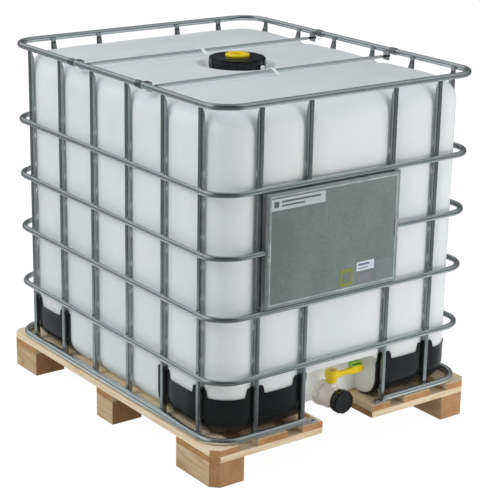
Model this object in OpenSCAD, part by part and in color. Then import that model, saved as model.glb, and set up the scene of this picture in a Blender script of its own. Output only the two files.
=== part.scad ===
// Intermediate bulk container: blow-moulded bottle in a welded tube cage on a timber pallet.
// Millimetres, +Z up. Origin: centre of the pallet footprint on the ground.
// The outlet valve and the marking plate face -Y (front); -X is left.

/* [Overall] */
// Pallet width along X
pallet_x = 1000; // [900:10:1200]
// Pallet length along Y
pallet_y = 1200; // [1000:10:1300]
// Overall height, top of the rail clamps
total_h = 1130; // [900:1:1250]

/* [Pallet] */
// Height of the spacer blocks
block_h = 78; // [60:1:110]
// Thickness of the bearer boards
bearer_t = 20; // [15:1:30]
// Thickness of the deck boards
deck_t = 20; // [15:1:30]
// Length along Y of the front corner blocks
block_len = 195; // [100:5:220]
// Length along Y of the rear corner blocks
rear_len = 160; // [100:5:220]
// Width along X of the corner blocks
block_w = 110; // [70:5:140]
// Corner chamfer of the pallet
chamfer = 24; // [5:1:40]
// Half width of the valve cut-out
cutout_hw = 98; // [70:1:130]
// Depth of the valve cut-out from the front edge
cutout_d = 185; // [100:5:250]

/* [Cage] */
// Ring centre line to the middle plane along X
ring_x = 486; // [440:1:490]
// Ring centre line to the middle plane along Y
ring_y = 586; // [540:1:590]
// Corner radius of the ring centre line
ring_bend_r = 88; // [60:1:160]
// Radius of the horizontal tubes
ring_r = 9; // [7:0.5:12]
// Radius of the top rail tube
rail_r = 9.5; // [8:0.5:15]
// Tube wall thickness
tube_t = 1.1; // [1:0.1:2.5]
// Height of the upper horizontal tube
ring1_z = 871; // [800:1:950]
// Height of the second horizontal tube
ring2_z = 686; // [600:1:780]
// Height of the third horizontal tube
ring3_z = 504; // [420:1:580]
// Height of the fourth horizontal tube
ring4_z = 311; // [250:1:380]
// Width of an upright tube
upright_w = 16; // [14:1:30]
// Depth of an upright tube
upright_d = 16; // [12:1:26]
// Distance of the cross bars from the middle
bar_y = 190; // [120:5:300]

/* [Bottle] */
// Half width of the bottle
bottle_x = 470; // [400:1:476]
// Half length of the bottle
bottle_y = 570; // [500:1:576]
// Vertical corner radius of the bottle
corner_r = 110; // [80:5:160]
// Shoulder radius
shoulder_r = 60; // [20:5:90]
// Bottom edge radius
bottom_r = 70; // [15:5:80]
// Top of the bottle
bottle_top = 1100; // [900:1:1110]
// Wall thickness of the bottle
bottle_t = 3; // [1.5:0.5:5]
// Depth of the upright channels, from the outer wall
channel_d = 13; // [8:1:25]
// Radius of the fill neck
neck_r = 74; // [60:1:80]

/* [Closures] */
// Outside radius of the fill cap
cap_r = 90; // [80:1:100]
// Height of the fill cap
cap_h = 40; // [25:1:55]
// Outside radius of the vent plug flange
plug_r = 39; // [30:1:45]
// Outlet axis height
outlet_z = 147; // [130:1:180]
// Bore radius of the outlet
bore_r = 24; // [20:1:27]
// Ball radius
ball_r = 30; // [28:1:36]
// Stem radius
stem_r = 8; // [6:0.5:10]
// Lever length from its pivot
lever_len = 128; // [90:1:130]
// Outside radius of the outlet cap
outlet_cap_r = 37.5; // [33:0.5:42]

/* [Hidden] */
$fn = 48;
gap = 0.05;                             // clearance between fitted parts
thread_gap = 0.08;                      // radial clearance of screwed parts
deck_z = block_h + bearer_t + deck_t;   // top of the deck
low_r = 10;                             // bottom tube radius
low_z = deck_z + low_r + gap;           // bottom tube centre
clamp_t = 2;                            // clamp wrap over the rail
rail_z = total_h - rail_r - clamp_t;    // rail centre
side_y = [-480, -292, -99, 99, 292, 480];   // side uprights
front_x = [-333, -158, 158, 333];           // front and rear uprights
bite = 0.8;                             // overlap of tubes and uprights
upright_x = ring_x - ring_r + bite;     // outer face of side uprights
upright_y = ring_y - ring_r + bite;     // outer face of end uprights
bar_z = 1106;                           // cross bar centre
neck_top = 1112;
cap_top = 1121;

// ---------- helpers ----------
module y_bar(x, y0, y1, z, r) {
  translate([x, y1, z]) rotate([90, 0, 0]) cylinder(r = r, h = y1 - y0);
}
module x_bar(x0, x1, y, z, r) {
  translate([x0, y, z]) rotate([0, 90, 0]) cylinder(r = r, h = x1 - x0);
}
module z_bar(z0, z1, r) {
  translate([0, 0, z0]) cylinder(r = r, h = z1 - z0);
}
module box(x0, x1, y0, y1, z0, z1) {
  translate([x0, y0, z0]) cube([x1 - x0, y1 - y0, z1 - z0]);
}
module annulus(outer, inner) {
  difference() {
    circle(r = outer);
    circle(r = inner);
  }
}

// ---------- pallet ----------
mid_len = 96;           // length along Y of the middle blocks and bearer
center_block_w = 100;
center_board_w = 140;
// rows of blocks, front to rear: centre y, length
block_rows = [
  [-pallet_y / 2 + block_len / 2, block_len],
  [0, mid_len],
  [pallet_y / 2 - rear_len / 2, rear_len]];
edge_board_w = 90;
inner_board_w = 74;
// deck boards on each side: centre x, width
side_boards = [
  [pallet_x / 2 - edge_board_w / 2, edge_board_w],
  [285, 106],
  [cutout_hw + inner_board_w / 2, inner_board_w]];

nail_r = 2;
nail_tip_z = 38;
nail_head_r = 5;
nail_head_h = 1.5;
nail_head_z = deck_z - nail_head_h - gap;
side_nails = [[445, -565], [455, -470], [440, 30], [445, 565], [455, 470]];
center_nails = [[-30, 0], [30, 0], [-30, 480], [30, 540]];
nails = concat([for (sx = [-1, 1]) for (p = side_nails) [sx * p[0], p[1]]], center_nails);

module plan_outline() {
  a = pallet_x / 2;
  b = pallet_y / 2;
  c = chamfer;
  polygon([[-a + c, -b], [a - c, -b], [a, -b + c], [a, b - c],
    [a - c, b], [-a + c, b], [-a, b - c], [-a, -b + c]]);
}
module nail_at() {
  for (p = nails) translate([p[0], p[1], 0]) children();
}
module nail_holes(z0, z1) {
  nail_at() z_bar(z0, z1, nail_r + gap);
}

module pallet_blocks() {
  color("BurlyWood") difference() {
    linear_extrude(height = block_h) intersection() {
      plan_outline();
      union() {
        for (row = block_rows) for (sx = [-1, 1])
          translate([sx * (pallet_x / 2 - block_w / 2), row[0]])
            square([block_w, row[1]], center = true);
        // no centre block in the front row, where the valve cut-out is
        for (i = [1, 2])
          translate([0, block_rows[i][0]])
            square([center_block_w, block_rows[i][1]], center = true);
      }
    }
    nail_holes(nail_tip_z - 2, block_h + 1);
  }
}
module bearers() {
  half_w = pallet_x / 2 - cutout_hw;
  color("Wheat") difference() {
    translate([0, 0, block_h]) linear_extrude(height = bearer_t) intersection() {
      plan_outline();
      union() {
        for (x = [-pallet_x / 2, cutout_hw])
          translate([x, -pallet_y / 2]) square([half_w, block_len]);
        translate([-pallet_x / 2, -mid_len / 2]) square([pallet_x, mid_len]);
        translate([-pallet_x / 2, pallet_y / 2 - rear_len]) square([pallet_x, rear_len]);
      }
    }
    nail_holes(block_h - 1, block_h + bearer_t + 1);
  }
}
module deck_boards() {
  color("Moccasin") difference() {
    translate([0, 0, deck_z - deck_t]) linear_extrude(height = deck_t) intersection() {
      plan_outline();
      union() {
        for (s = [-1, 1]) for (board = side_boards)
          translate([s * board[0], 0]) square([board[1], pallet_y], center = true);
        translate([-center_board_w / 2, -pallet_y / 2 + cutout_d])
          square([center_board_w, pallet_y - cutout_d]);
      }
    }
    nail_holes(deck_z - deck_t - 1, deck_z + 1);
    nail_at() translate([0, 0, nail_head_z - gap]) cylinder(r = nail_head_r + 0.1, h = 3);
    strap_screw_at() screw_hole();
    tab_screw_at() screw_hole();
  }
}
module pallet_nails() {
  color("DimGray") nail_at() union() {
    z_bar(nail_tip_z, nail_head_z, nail_r);
    translate([0, 0, nail_head_z]) cylinder(r = nail_head_r, h = nail_head_h);
  }
}

// ---------- cage ----------
ring_cx = ring_x - ring_bend_r;   // centres of the ring bends
ring_cy = ring_y - ring_bend_r;
// ring corners: x sign, y sign, turn about Z
ring_corners = [[1, 1, 0], [-1, 1, 90], [-1, -1, 180], [1, -1, 270]];
// all horizontal tubes: height, radius
ring_levels = [[ring1_z, ring_r], [ring2_z, ring_r], [ring3_z, ring_r], [ring4_z, ring_r],
  [low_z, low_r], [rail_z, rail_r]];
ring_gap_hw = 146;    // half opening of the bottom ring at the valve
strap_hw = 13;        // half width of the straps, clamps and tabs
tab_x = 129;          // centre of the screw tabs on the bottom ring
tab_hw = 18;
tab_t = 6;
tab_screw_x = 124;

// sweeps the child section round the given corners
module ring_bends(z, corners) {
  for (c = corners)
    translate([c[0] * ring_cx, c[1] * ring_cy, z]) rotate([0, 0, c[2]])
      rotate_extrude(angle = 90) translate([ring_bend_r, 0]) children();
}
module y_tube(x, y0, y1, z, r) {
  translate([x, y1, z]) rotate([90, 0, 0])
    linear_extrude(height = y1 - y0) annulus(r, r - tube_t);
}
module x_tube(x0, x1, y, z, r) {
  translate([x0, y, z]) rotate([90, 0, 90])
    linear_extrude(height = x1 - x0) annulus(r, r - tube_t);
}
// bends and side runs common to all rings
module ring_sides(z, r) {
  ring_bends(z, ring_corners) annulus(r, r - tube_t);
  for (s = [-1, 1]) y_tube(s * ring_x, -ring_cy, ring_cy, z, r);
}
// closed rounded rectangle of tube
module tube_ring(z, r) {
  difference() {
    union() {
      ring_sides(z, r);
      for (s = [-1, 1]) x_tube(-ring_cx, ring_cx, s * ring_y, z, r);
    }
    y_bar(60, ring_y - r - 2, ring_y, z, 2);   // galvanising vent
  }
}

module bottom_ring() {
  color("LightSlateGray") difference() {
    union() {
      ring_sides(low_z, low_r);
      x_tube(-ring_cx, ring_cx, ring_y, low_z, low_r);
      x_tube(-ring_cx, -ring_gap_hw, -ring_y, low_z, low_r);
      x_tube(ring_gap_hw, ring_cx, -ring_y, low_z, low_r);
      for (s = [-1, 1])
        box(s * tab_x - tab_hw, s * tab_x + tab_hw, -ring_y - strap_hw, -ring_y + strap_hw,
          deck_z + gap, deck_z + tab_t);
    }
    tab_screw_at() translate([0, 0, deck_z - 1]) cylinder(r = 3.2, h = 12);
  }
}
module ring_lower() { color("LightSlateGray") tube_ring(ring4_z, ring_r); }
module ring_lower_mid() { color("LightSlateGray") tube_ring(ring3_z, ring_r); }
module ring_upper_mid() { color("LightSlateGray") tube_ring(ring2_z, ring_r); }
module ring_upper() { color("LightSlateGray") tube_ring(ring1_z, ring_r); }
module top_rail() { color("SlateGray") tube_ring(rail_z, rail_r); }

// upright cross-section moved in by inset, with its outer and inner corner cuts
module upright_section(inset, outer_cut, inner_cut) {
  w = upright_w / 2;
  d = upright_d;
  polygon([[-w + outer_cut, inset], [w - outer_cut, inset],
    [w - inset, outer_cut], [w - inset, d - inner_cut],
    [w - inner_cut, d - inset], [-w + inner_cut, d - inset],
    [-w + inset, d - inner_cut], [-w + inset, outer_cut]]);
}
// one upright; outer face in the plane y = 0, body towards +y, dented where the rings cross
module upright() {
  foot_z = deck_z + 1;
  bore_top = 1075;
  taper_z = 1082;     // the inner face slopes outwards above this
  d = upright_d;
  difference() {
    translate([0, 0, foot_z]) linear_extrude(height = rail_z + 3 - foot_z)
      upright_section(0, 3, 5);
    translate([0, 0, deck_z]) linear_extrude(height = bore_top - deck_z)
      upright_section(tube_t, 4, 6);
    for (level = ring_levels) x_bar(-20, 20, bite - ring_r, level[0], level[1] + gap);
    translate([-20, 0, 0]) rotate([90, 0, 90]) linear_extrude(height = 40)
      polygon([[d + 1, taper_z], [d + 1, 1140], [d - 9, 1140], [d - 9, 1110], [d, taper_z]]);
  }
}
// uprights of one side, the outermost notched by the ring bends
module side_uprights(sx) {
  difference() {
    for (y = side_y) translate([sx * upright_x, y, 0]) rotate([0, 0, sx * 90]) upright();
    for (level = ring_levels)
      ring_bends(level[0], [for (c = ring_corners) if (c[0] == sx) c])
        circle(r = level[1] + gap);
  }
}
module uprights_left() { color("SlateGray") side_uprights(-1); }
module uprights_right() { color("SlateGray") side_uprights(1); }
module uprights_front() {
  color("SlateGray") for (x = front_x) translate([x, -upright_y, 0]) upright();
}
module uprights_rear() {
  color("SlateGray") for (x = front_x)
    translate([x, upright_y, 0]) rotate([0, 0, 180]) upright();
}

// ---------- cross bars ----------
bar_hl = 430;         // half length
bar_r = 6.5;
stud_r = 4;
clamp_x0 = 452;       // inner face of the clamp plate
clamp_x1 = 456;       // outer face of the clamp plate
clamp_plate_t = clamp_x1 - clamp_x0;
clip_w = 12;
// clip outline: y from the bar, z from the bottle top
clip_outline = [
  [-41, 0.05], [-31, 0.05], [-8, 10.8], [-5.5, 12.7], [5.5, 12.7], [8, 10.8], [31, 0.05],
  [41, 0.05], [41, 2.2], [32, 2.6], [10, 12.8], [6.5, 15.3], [-6.5, 15.3], [-10, 12.8],
  [-32, 2.6], [-41, 2.2]];

module cross_bar(y) {
  color("LightGray") difference() {
    x_bar(-bar_hl, bar_hl, y, bar_z, bar_r);
    x_bar(-bar_hl - 1, bar_hl + 1, y, bar_z, stud_r + gap);
  }
}
module cross_bar_front() { cross_bar(-bar_y); }
module cross_bar_rear() { cross_bar(bar_y); }
// plastic straps holding the cross bars down in their grooves
module bar_clips() {
  color("White") for (s = [-1, 1])
    translate([-clip_w, s * bar_y, bottle_top]) rotate([90, 0, 90])
      linear_extrude(height = clip_w) polygon(clip_outline);
}
module bar_ends() {
  for (sx = [0, 1]) for (sy = [-1, 1])
    mirror([sx, 0, 0]) translate([0, sy * bar_y, 0]) children();
}
module bar_studs() { color("DimGray") bar_ends() x_bar(392, 468, 0, bar_z, stud_r); }
module bar_nuts() {
  color("Gainsboro") bar_ends()
    translate([clamp_x1 + gap, 0, bar_z]) rotate([0, 90, 0]) rotate([0, 0, 30]) difference() {
      cylinder(r = 8, h = 7, $fn = 6);
      translate([0, 0, -1]) cylinder(r = stud_r + gap, h = 10);
    }
}
module bar_clamps() {
  hw = strap_hw;
  color("Silver") bar_ends() difference() {
    union() {
      y_bar(ring_x, -hw, hw, rail_z, rail_r + clamp_t);
      box(clamp_x0, clamp_x1, -hw, hw, bar_z - 12, rail_z + clamp_plate_t);
      box(clamp_x0, 475.8, -hw, hw, rail_z, rail_z + clamp_plate_t);
    }
    y_bar(ring_x, -hw - 1, hw + 1, rail_z, rail_r + gap);
    x_bar(440, 470, 0, bar_z, stud_r + 0.1);
  }
}

// ---------- frame fixings ----------
strap_t = 3;          // strap foot, from the deck
strap_screw_x = 21;   // screw distance from the tube centre line
screw_r = 2.5;
screw_depth = 14;
// straps on the bottom ring: x, y, turn about Z
straps = [[-ring_x, 0, 0], [ring_x, 0, 180], [0, ring_y, -90]];

module strap_at() {
  for (p = straps) translate([p[0], p[1], 0]) rotate([0, 0, p[2]]) children();
}
module strap_screw_at() {
  strap_at() translate([strap_screw_x, 0, 0]) children();
}
module tab_screw_at() {
  for (s = [-1, 1]) translate([s * tab_screw_x, -ring_y, 0]) children();
}
module screw_hole() {
  translate([0, 0, deck_z - screw_depth - 2]) cylinder(r = screw_r + gap, h = 20);
}
module frame_screw(seat_t, head_r, head_h) {
  head_z = deck_z + seat_t + gap;
  z_bar(deck_z - screw_depth, head_z, screw_r);
  translate([0, 0, head_z]) cylinder(r = head_r, h = head_h, $fn = 6);
}
module frame_straps() {
  hw = strap_hw;
  color("Silver") strap_at() difference() {
    union() {
      y_bar(0, -hw, hw, low_z, low_r + 2.5);
      box(0, 30, -hw, hw, deck_z + gap, deck_z + strap_t);
    }
    y_bar(0, -hw - 1, hw + 1, low_z, low_r + gap);
    box(-20, 9, -hw - 1, hw + 1, deck_z - 5, low_z);
    translate([strap_screw_x, 0, deck_z - 1]) cylinder(r = screw_r + 0.1, h = 8);
  }
}
module frame_screws() {
  color("Gainsboro") union() {
    strap_screw_at() frame_screw(strap_t, 5.5, 3.5);
    tab_screw_at() frame_screw(tab_t, 7, 4);
  }
}

// ---------- marking plate ----------
plate_x0 = -324;
plate_x1 = 170;
plate_z0 = 515;
plate_z1 = 860.5;
plate_y = -597.5;     // front face
plate_t = 1.3;
end_flange = 12;      // depth of the top and bottom flanges
side_flange = 8;
rivet_r = 2;
rivets = [for (x = [plate_x0 + 9, plate_x1 - 9]) for (z = [706, 666]) [x, z]];
// stickers: x0, x1, z0, z1
stickers = [
  [-310, -116, 808, 842], [-50, -2, 534, 588], [12, 80, 572, 600],
  [18, 70, 534, 564], [84, 150, 530, 596]];

module marking_plate() {
  x0 = plate_x0;
  x1 = plate_x1;
  z0 = plate_z0;
  z1 = plate_z1;
  y = plate_y;
  t = plate_t;
  color("DarkSeaGreen") difference() {
    union() {
      box(x0, x1, y, y + t, z0, z1);
      box(x0, x1, y, y + end_flange, z1 - t, z1);
      box(x0, x1, y, y + end_flange, z0, z0 + t);
      box(x0, x0 + t, y, y + side_flange, z0, z1);
      box(x1 - t, x1, y, y + side_flange, z0, z1);
    }
    x_bar(x0 - 5, x1 + 5, -ring_y, ring2_z, ring_r + 0.3);
    for (p = rivets) y_bar(p[0], y - 1, y + t + 1, p[1], rivet_r + gap);
  }
}
module plate_rivets() {
  color("White") for (p = rivets) union() {
    y_bar(p[0], plate_y, plate_y + 5, p[1], rivet_r);
    y_bar(p[0], plate_y - 1.6, plate_y, p[1], 4.5);
  }
}
module plate_stickers() {
  color("White") for (k = stickers) box(k[0], k[1], plate_y - 0.4, plate_y, k[2], k[3]);
}

// ---------- bottle ----------
// In this section d moves the walls outwards, so a negative d gives the inner surface.
pocket_hw = 137;      // valve pocket half width
pocket_top = 268;
pocket_y = -465;      // rear wall of the valve pocket
pocket_r = 28;
well_r = 112;         // round well about the neck
well_d = 22;
neck_wall = 6;
spout_y = -486;       // front face of the outlet spout
spout_r = 28.6;
spout_bore_r = 25.4;

// half section with half width w
module half_section(w, d) {
  z0 = deck_z + 0.2 - d;
  z1 = bottle_top + d;
  rt = shoulder_r + d;
  rb = bottom_r + d;
  union() {
    translate([0, z0]) square([w - rb, z1 - z0]);
    translate([0, z0 + rb]) square([w, z1 - z0 - rb - rt]);
    translate([0, z1 - rt]) square([w - rt, rt]);
    translate([w - rt, z1 - rt]) intersection() {
      circle(r = rt);
      square([rt, rt]);
    }
    translate([w - rb, z0 + rb]) intersection() {
      circle(r = rb);
      translate([0, -rb]) square([rb, rb]);
    }
  }
}
module full_section(w, d) {
  half_section(w, d);
  mirror([1, 0]) half_section(w, d);
}
module body(d) {
  r = corner_r + d;
  cx = bottle_x + d - r;
  cy = bottle_y + d - r;
  union() {
    translate([0, cy, 0]) rotate([90, 0, 0]) linear_extrude(height = 2 * cy)
      full_section(bottle_x + d, d);
    for (s = [0, 1]) mirror([0, s, 0]) {
      translate([-cx, cy, 0]) rotate([90, 0, 90]) linear_extrude(height = 2 * cx)
        half_section(r, d);
      for (m = [0, 1]) mirror([m, 0, 0]) translate([cx, cy, 0])
        rotate_extrude(angle = 90) half_section(r, d);
    }
  }
}
// channel past one upright, in the -Y wall at distance wall
module channel(wall, d) {
  floor_y = -wall + channel_d - d;
  mouth_y = -wall - d - 7;
  floor_hw = 12 - d;
  mouth_hw = 25 - d;
  translate([0, 0, 60]) linear_extrude(height = 1080)
    polygon([[-floor_hw, floor_y], [floor_hw, floor_y],
      [mouth_hw, mouth_y], [-mouth_hw, mouth_y]]);
}
// channels of the quarter with signs sx and sy; zero takes both sides
module channels(d, sx, sy) {
  for (x = front_x) if (x * sx >= 0) {
    if (sy <= 0) translate([x, 0, 0]) channel(bottle_y, d);
    if (sy >= 0) translate([x, 0, 0]) rotate([0, 0, 180]) channel(bottle_y, d);
  }
  for (y = side_y) if (y * sy >= 0) {
    if (sx <= 0) translate([0, y, 0]) rotate([0, 0, -90]) channel(bottle_x, d);
    if (sx >= 0) translate([0, y, 0]) rotate([0, 0, 90]) channel(bottle_x, d);
  }
}
module bar_grooves(d) {
  floor_hw = 16 - d;
  mouth_hw = 38 - d;
  floor_z = bottle_top - 16 + d;
  mouth_z = bottle_top + 8;
  for (s = [-1, 1]) translate([-500, s * bar_y, 0]) rotate([90, 0, 90])
    linear_extrude(height = 1000)
      polygon([[-floor_hw, floor_z], [floor_hw, floor_z],
        [mouth_hw, mouth_z], [-mouth_hw, mouth_z]]);
}
module pocket(d) {
  hw = pocket_hw - d;
  top = pocket_top - d;
  r = pocket_r;
  z0 = 60;
  translate([0, pocket_y - d, 0]) rotate([90, 0, 0]) linear_extrude(height = 200) union() {
    translate([-hw, z0]) square([2 * hw, top - r - z0]);
    translate([-hw + r, z0]) square([2 * hw - 2 * r, top - z0]);
    for (s = [-1, 1]) translate([s * (hw - r), top - r]) circle(r = r);
  }
}
module recessed_body(d) {
  difference() {
    body(d);
    channels(d, 0, 0);
    bar_grooves(d);
    pocket(d);
    translate([0, 0, bottle_top - well_d + d]) cylinder(r = well_r - d, h = 30);
  }
}
module bottle() {
  color("WhiteSmoke") difference() {
    union() {
      recessed_body(0);
      z_bar(bottle_top - well_d - 2, neck_top, neck_r);
      outlet_bar(spout_y, pocket_y + 1, spout_r);
      // two lugs in the well
      for (a = [-73, 107]) rotate([0, 0, a])
        translate([95, -8, bottle_top - well_d - 1]) cube([8, 16, 26]);
    }
    recessed_body(-bottle_t);
    translate([0, 0, bottle_top - 40]) cylinder(r = neck_r - neck_wall, h = 80);
    outlet_bar(spout_y - 4, pocket_y + 10, spout_bore_r);
  }
}

// ---------- corner guards ----------
guard_z0 = 126;
guard_z1 = 246;
ear_z0 = 200;
ear_z1 = guard_z1 + 26;
ear_hw = 30;
guard_x = [440, 490];   // reach of the ears on the sides
guard_y = [540, 590];   // reach of the ears on the ends
guard_x_end = 139.5;    // where the guard stops along the end
guard_y_end = 262;      // where the guard stops along the side

// box over the x and y ranges, taken to the quarter with signs sx and sy
module quarter_box(sx, sy, xs, ys, z0, z1) {
  box(min(sx * xs), max(sx * xs), min(sy * ys), max(sy * ys), z0, z1);
}
module channelled_body(d, sx, sy) {
  difference() {
    body(d);
    channels(d, sx, sy);
  }
}
module corner_guard(sx, sy) {
  color("DimGray") intersection() {
    difference() {
      channelled_body(3, sx, sy);
      channelled_body(0.5, sx, sy);
    }
    union() {
      // wrap along the side and along the end
      quarter_box(sx, sy, [300, guard_x[1]], [guard_y_end, guard_y[1]], guard_z0, guard_z1);
      quarter_box(sx, sy, [guard_x_end, guard_x[1]], [400, guard_y[1]], guard_z0, guard_z1);
      // ears behind the uprights
      for (y = [side_y[4], side_y[5]])
        quarter_box(sx, sy, guard_x, [y - ear_hw, y + ear_hw], ear_z0, ear_z1);
      for (xs = [[front_x[3] - ear_hw, front_x[3] + ear_hw],
                 [guard_x_end, front_x[2] + ear_hw]])
        quarter_box(sx, sy, xs, guard_y, ear_z0, ear_z1);
    }
  }
}
module corner_guard_fl() { corner_guard(-1, -1); }
module corner_guard_fr() { corner_guard(1, -1); }
module corner_guard_rl() { corner_guard(-1, 1); }
module corner_guard_rr() { corner_guard(1, 1); }

// ---------- fill closure ----------
cap_z0 = cap_top - cap_h;
cap_gasket_t = 3;
plug_body_r = 29;
plug_depth = 22;
plug_gasket_t = 1.5;

module fill_cap() {
  roof_z = neck_top + cap_gasket_t + 2 * gap;
  color([0.1, 0.1, 0.11]) difference() {
    union() {
      translate([0, 0, cap_z0]) cylinder(r = cap_r - 4, h = cap_h);
      // twelve grip ribs
      for (i = [0:11]) rotate([0, 0, i * 30 + 15]) intersection() {
        translate([0, 0, cap_z0 + 2]) cylinder(r = cap_r, h = cap_h - 5);
        translate([cap_r - 14, -14, cap_z0]) cube([20, 28, cap_h]);
      }
    }
    // neck space, less the boss that holds the vent plug
    difference() {
      z_bar(cap_z0 - 1, roof_z, neck_r + thread_gap);
      translate([0, 0, cap_top - plug_depth - 2]) cylinder(r = 35, h = 30);
    }
    translate([0, 0, cap_top - 30]) cylinder(r = plug_body_r + 0.06, h = 40);
    translate([0, 0, cap_top - plug_gasket_t - gap]) cylinder(r = 36, h = 3);
  }
}
module fill_cap_gasket() {
  color("Ivory") translate([0, 0, neck_top + gap]) linear_extrude(height = cap_gasket_t)
    annulus(neck_r - 0.4, neck_r - neck_wall);
}
module vent_plug() {
  color("Gold") difference() {
    union() {
      z_bar(cap_top - plug_depth, cap_top + gap, plug_body_r);
      translate([0, 0, cap_top + gap]) cylinder(r = plug_r, h = 8.9);
    }
    translate([0, 0, cap_top - 4]) cylinder(r = 19, h = 20, $fn = 8);
    translate([0, 0, cap_top - plug_depth - 1]) cylinder(r = 24, h = 15);
  }
}
module vent_plug_gasket() {
  color("Black") translate([0, 0, cap_top - plug_gasket_t])
    linear_extrude(height = plug_gasket_t) annulus(35.8, plug_body_r + 0.1);
}

// ---------- outlet valve, axis along Y ----------
ball_y = -515;          // ball and stem centre
valve_back = -488.1;    // rear face of the valve body
flange_front = -491.4;
flange_r = 36;
nut_front = -494;
nut_back = -470;
nut_r = 40;
nut_mouth_r = 33.2;
chamber_front = -545;
chamber_r = 30.6;
seat_r = 30.5;          // outside radius of the ball seats and retainer
retainer_front = -492;
spigot_front = -574;
spigot_r = 29.6;
outlet_cap_front = -580.5;
outlet_cap_floor = -577;
outlet_cap_body_r = 35.5;
ball_top = outlet_z + ball_r;
stem_shoulder = ball_top + 30;
stem_top = stem_shoulder + 15;
stem_hole_z = ball_top + 32;
oring_z = outlet_z + 39;    // floor of the O-ring groove
hub_z = outlet_z + 46.5;    // underside of the lever hub
screw_seat_z = hub_z + 36;  // floor of the lever screw recess

module outlet_bar(y0, y1, r) { y_bar(0, y0, y1, outlet_z, r); }
module outlet_ring(y0, y1, outer, inner) {
  translate([0, 0, outlet_z]) rotate([90, 0, 0]) rotate_extrude()
    translate([inner, -y1]) square([outer - inner, y1 - y0]);
}
// children from the ball centre, and from the stem axis at height z
module at_ball() { translate([0, ball_y, outlet_z]) children(); }
module on_stem(z) { translate([0, ball_y, z]) children(); }

module outlet_gasket() {
  color("Black") outlet_ring(valve_back + gap, spout_y - gap, 28.4, spout_bore_r);
}
module union_nut() {
  bore = spout_r + thread_gap;
  color("White") difference() {
    union() {
      outlet_ring(nut_front, nut_back, nut_r, bore);
      outlet_ring(nut_front, -491.6, nut_r, nut_mouth_r);
      for (i = [0:7]) translate([0, 0, outlet_z]) rotate([0, i * 45, 0])
        box(38, 43, nut_front + 2, nut_back - 2, -5, 5);
    }
    outlet_bar(-491.5, spout_y, flange_r + 0.2);
    outlet_bar(-500, nut_back, bore);
    outlet_bar(-500, -490, nut_mouth_r);
  }
}
module valve_body() {
  color("Snow") difference() {
    union() {
      outlet_bar(flange_front, valve_back, flange_r);          // clamped flange
      outlet_bar(-550, valve_back, 33);
      at_ball() sphere(r = 38);
      outlet_bar(spigot_front, chamber_front, spigot_r);
      outlet_bar(-551, -546, 35);
      at_ball() cylinder(r = 17, h = 46);                      // bonnet
    }
    outlet_bar(chamber_front, -487, chamber_r);
    at_ball() sphere(r = ball_r + 2.2);
    outlet_bar(-580, -540, bore_r);
    at_ball() cylinder(r = stem_r + gap, h = 60);
    on_stem(oring_z) cylinder(r = 11, h = 3.2);
    // trims the ball housing flush behind the flange
    box(-60, 60, valve_back + gap, pocket_y, outlet_z - 60, outlet_z + 60);
  }
}
module seat_retainer() {
  color("Ivory") outlet_ring(retainer_front, valve_back - gap, seat_r, bore_r);
}
module ball_seats() {
  color("WhiteSmoke") difference() {
    union() {
      outlet_ring(chamber_front + gap, -532, seat_r, bore_r);
      outlet_ring(-498, retainer_front - gap, seat_r, bore_r);
    }
    at_ball() sphere(r = ball_r + 0.06);
  }
}
// the ball is shown closed, its bore across the outlet
module valve_ball() {
  color("White") difference() {
    at_ball() sphere(r = ball_r);
    x_bar(-40, 40, ball_y, outlet_z, bore_r);
    translate([-4.1, ball_y - 6.6, ball_top - 3.6]) cube([8.2, 13.2, 10]);
  }
}
module valve_stem() {
  color("Gainsboro") difference() {
    union() {
      on_stem(ball_top + 0.3) cylinder(r = stem_r, h = 29.7);
      translate([-4, ball_y - 6.5, ball_top - 3.5]) cube([8, 13, 6]);
      box(-5.5, 5.5, ball_y - 5.5, ball_y + 5.5, stem_shoulder - 1, stem_top);
    }
    on_stem(stem_hole_z) cylinder(r = screw_r + gap, h = 60);
  }
}
module stem_oring() {
  color("Black") on_stem(oring_z + 1.6) rotate_extrude() translate([9.5, 0]) circle(r = 1.4);
}
module lever() {
  grip_z = hub_z + 8;
  grip_h = 26;
  grip_r = 10;
  color("Gold") difference() {
    union() {
      on_stem(hub_z) cylinder(r = 18, h = 16);
      on_stem(hub_z + 14) cylinder(r = 21, h = 26);
      translate([0, ball_y - 6, hub_z + 12]) cube([lever_len - 48, 12, 17]);
      translate([72, ball_y - grip_r, grip_z])
        cube([lever_len - 72 - grip_r, 2 * grip_r, grip_h]);
      translate([lever_len - grip_r, ball_y, grip_z]) cylinder(r = grip_r, h = grip_h);
    }
    on_stem(0) z_bar(hub_z - 1, stem_shoulder + gap, stem_r + 0.2);
    box(-5.6, 5.6, ball_y - 5.6, ball_y + 5.6, hub_z, stem_top + 0.1);
    on_stem(hub_z + 20) cylinder(r = 3.1, h = 40);
    on_stem(screw_seat_z) cylinder(r = 8, h = 10);
  }
}
module lever_screw() {
  color("Silver") difference() {
    union() {
      on_stem(screw_seat_z + gap) cylinder(r = 5.5, h = 3.5);
      on_stem(0) z_bar(stem_hole_z + 1, screw_seat_z + 0.1, screw_r);
    }
    on_stem(screw_seat_z + 2) cylinder(r = 2.5, h = 3, $fn = 6);
  }
}
module tamper_tab() {
  color("YellowGreen") translate([0, ball_y, hub_z + 34 + gap]) union() {
    translate([76, -9, 0]) cube([40, 18, 3]);
    translate([76, -9, 0]) cube([3, 18, 12]);
    translate([90, -5, 0]) cube([22, 10, 6]);
  }
}
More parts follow.
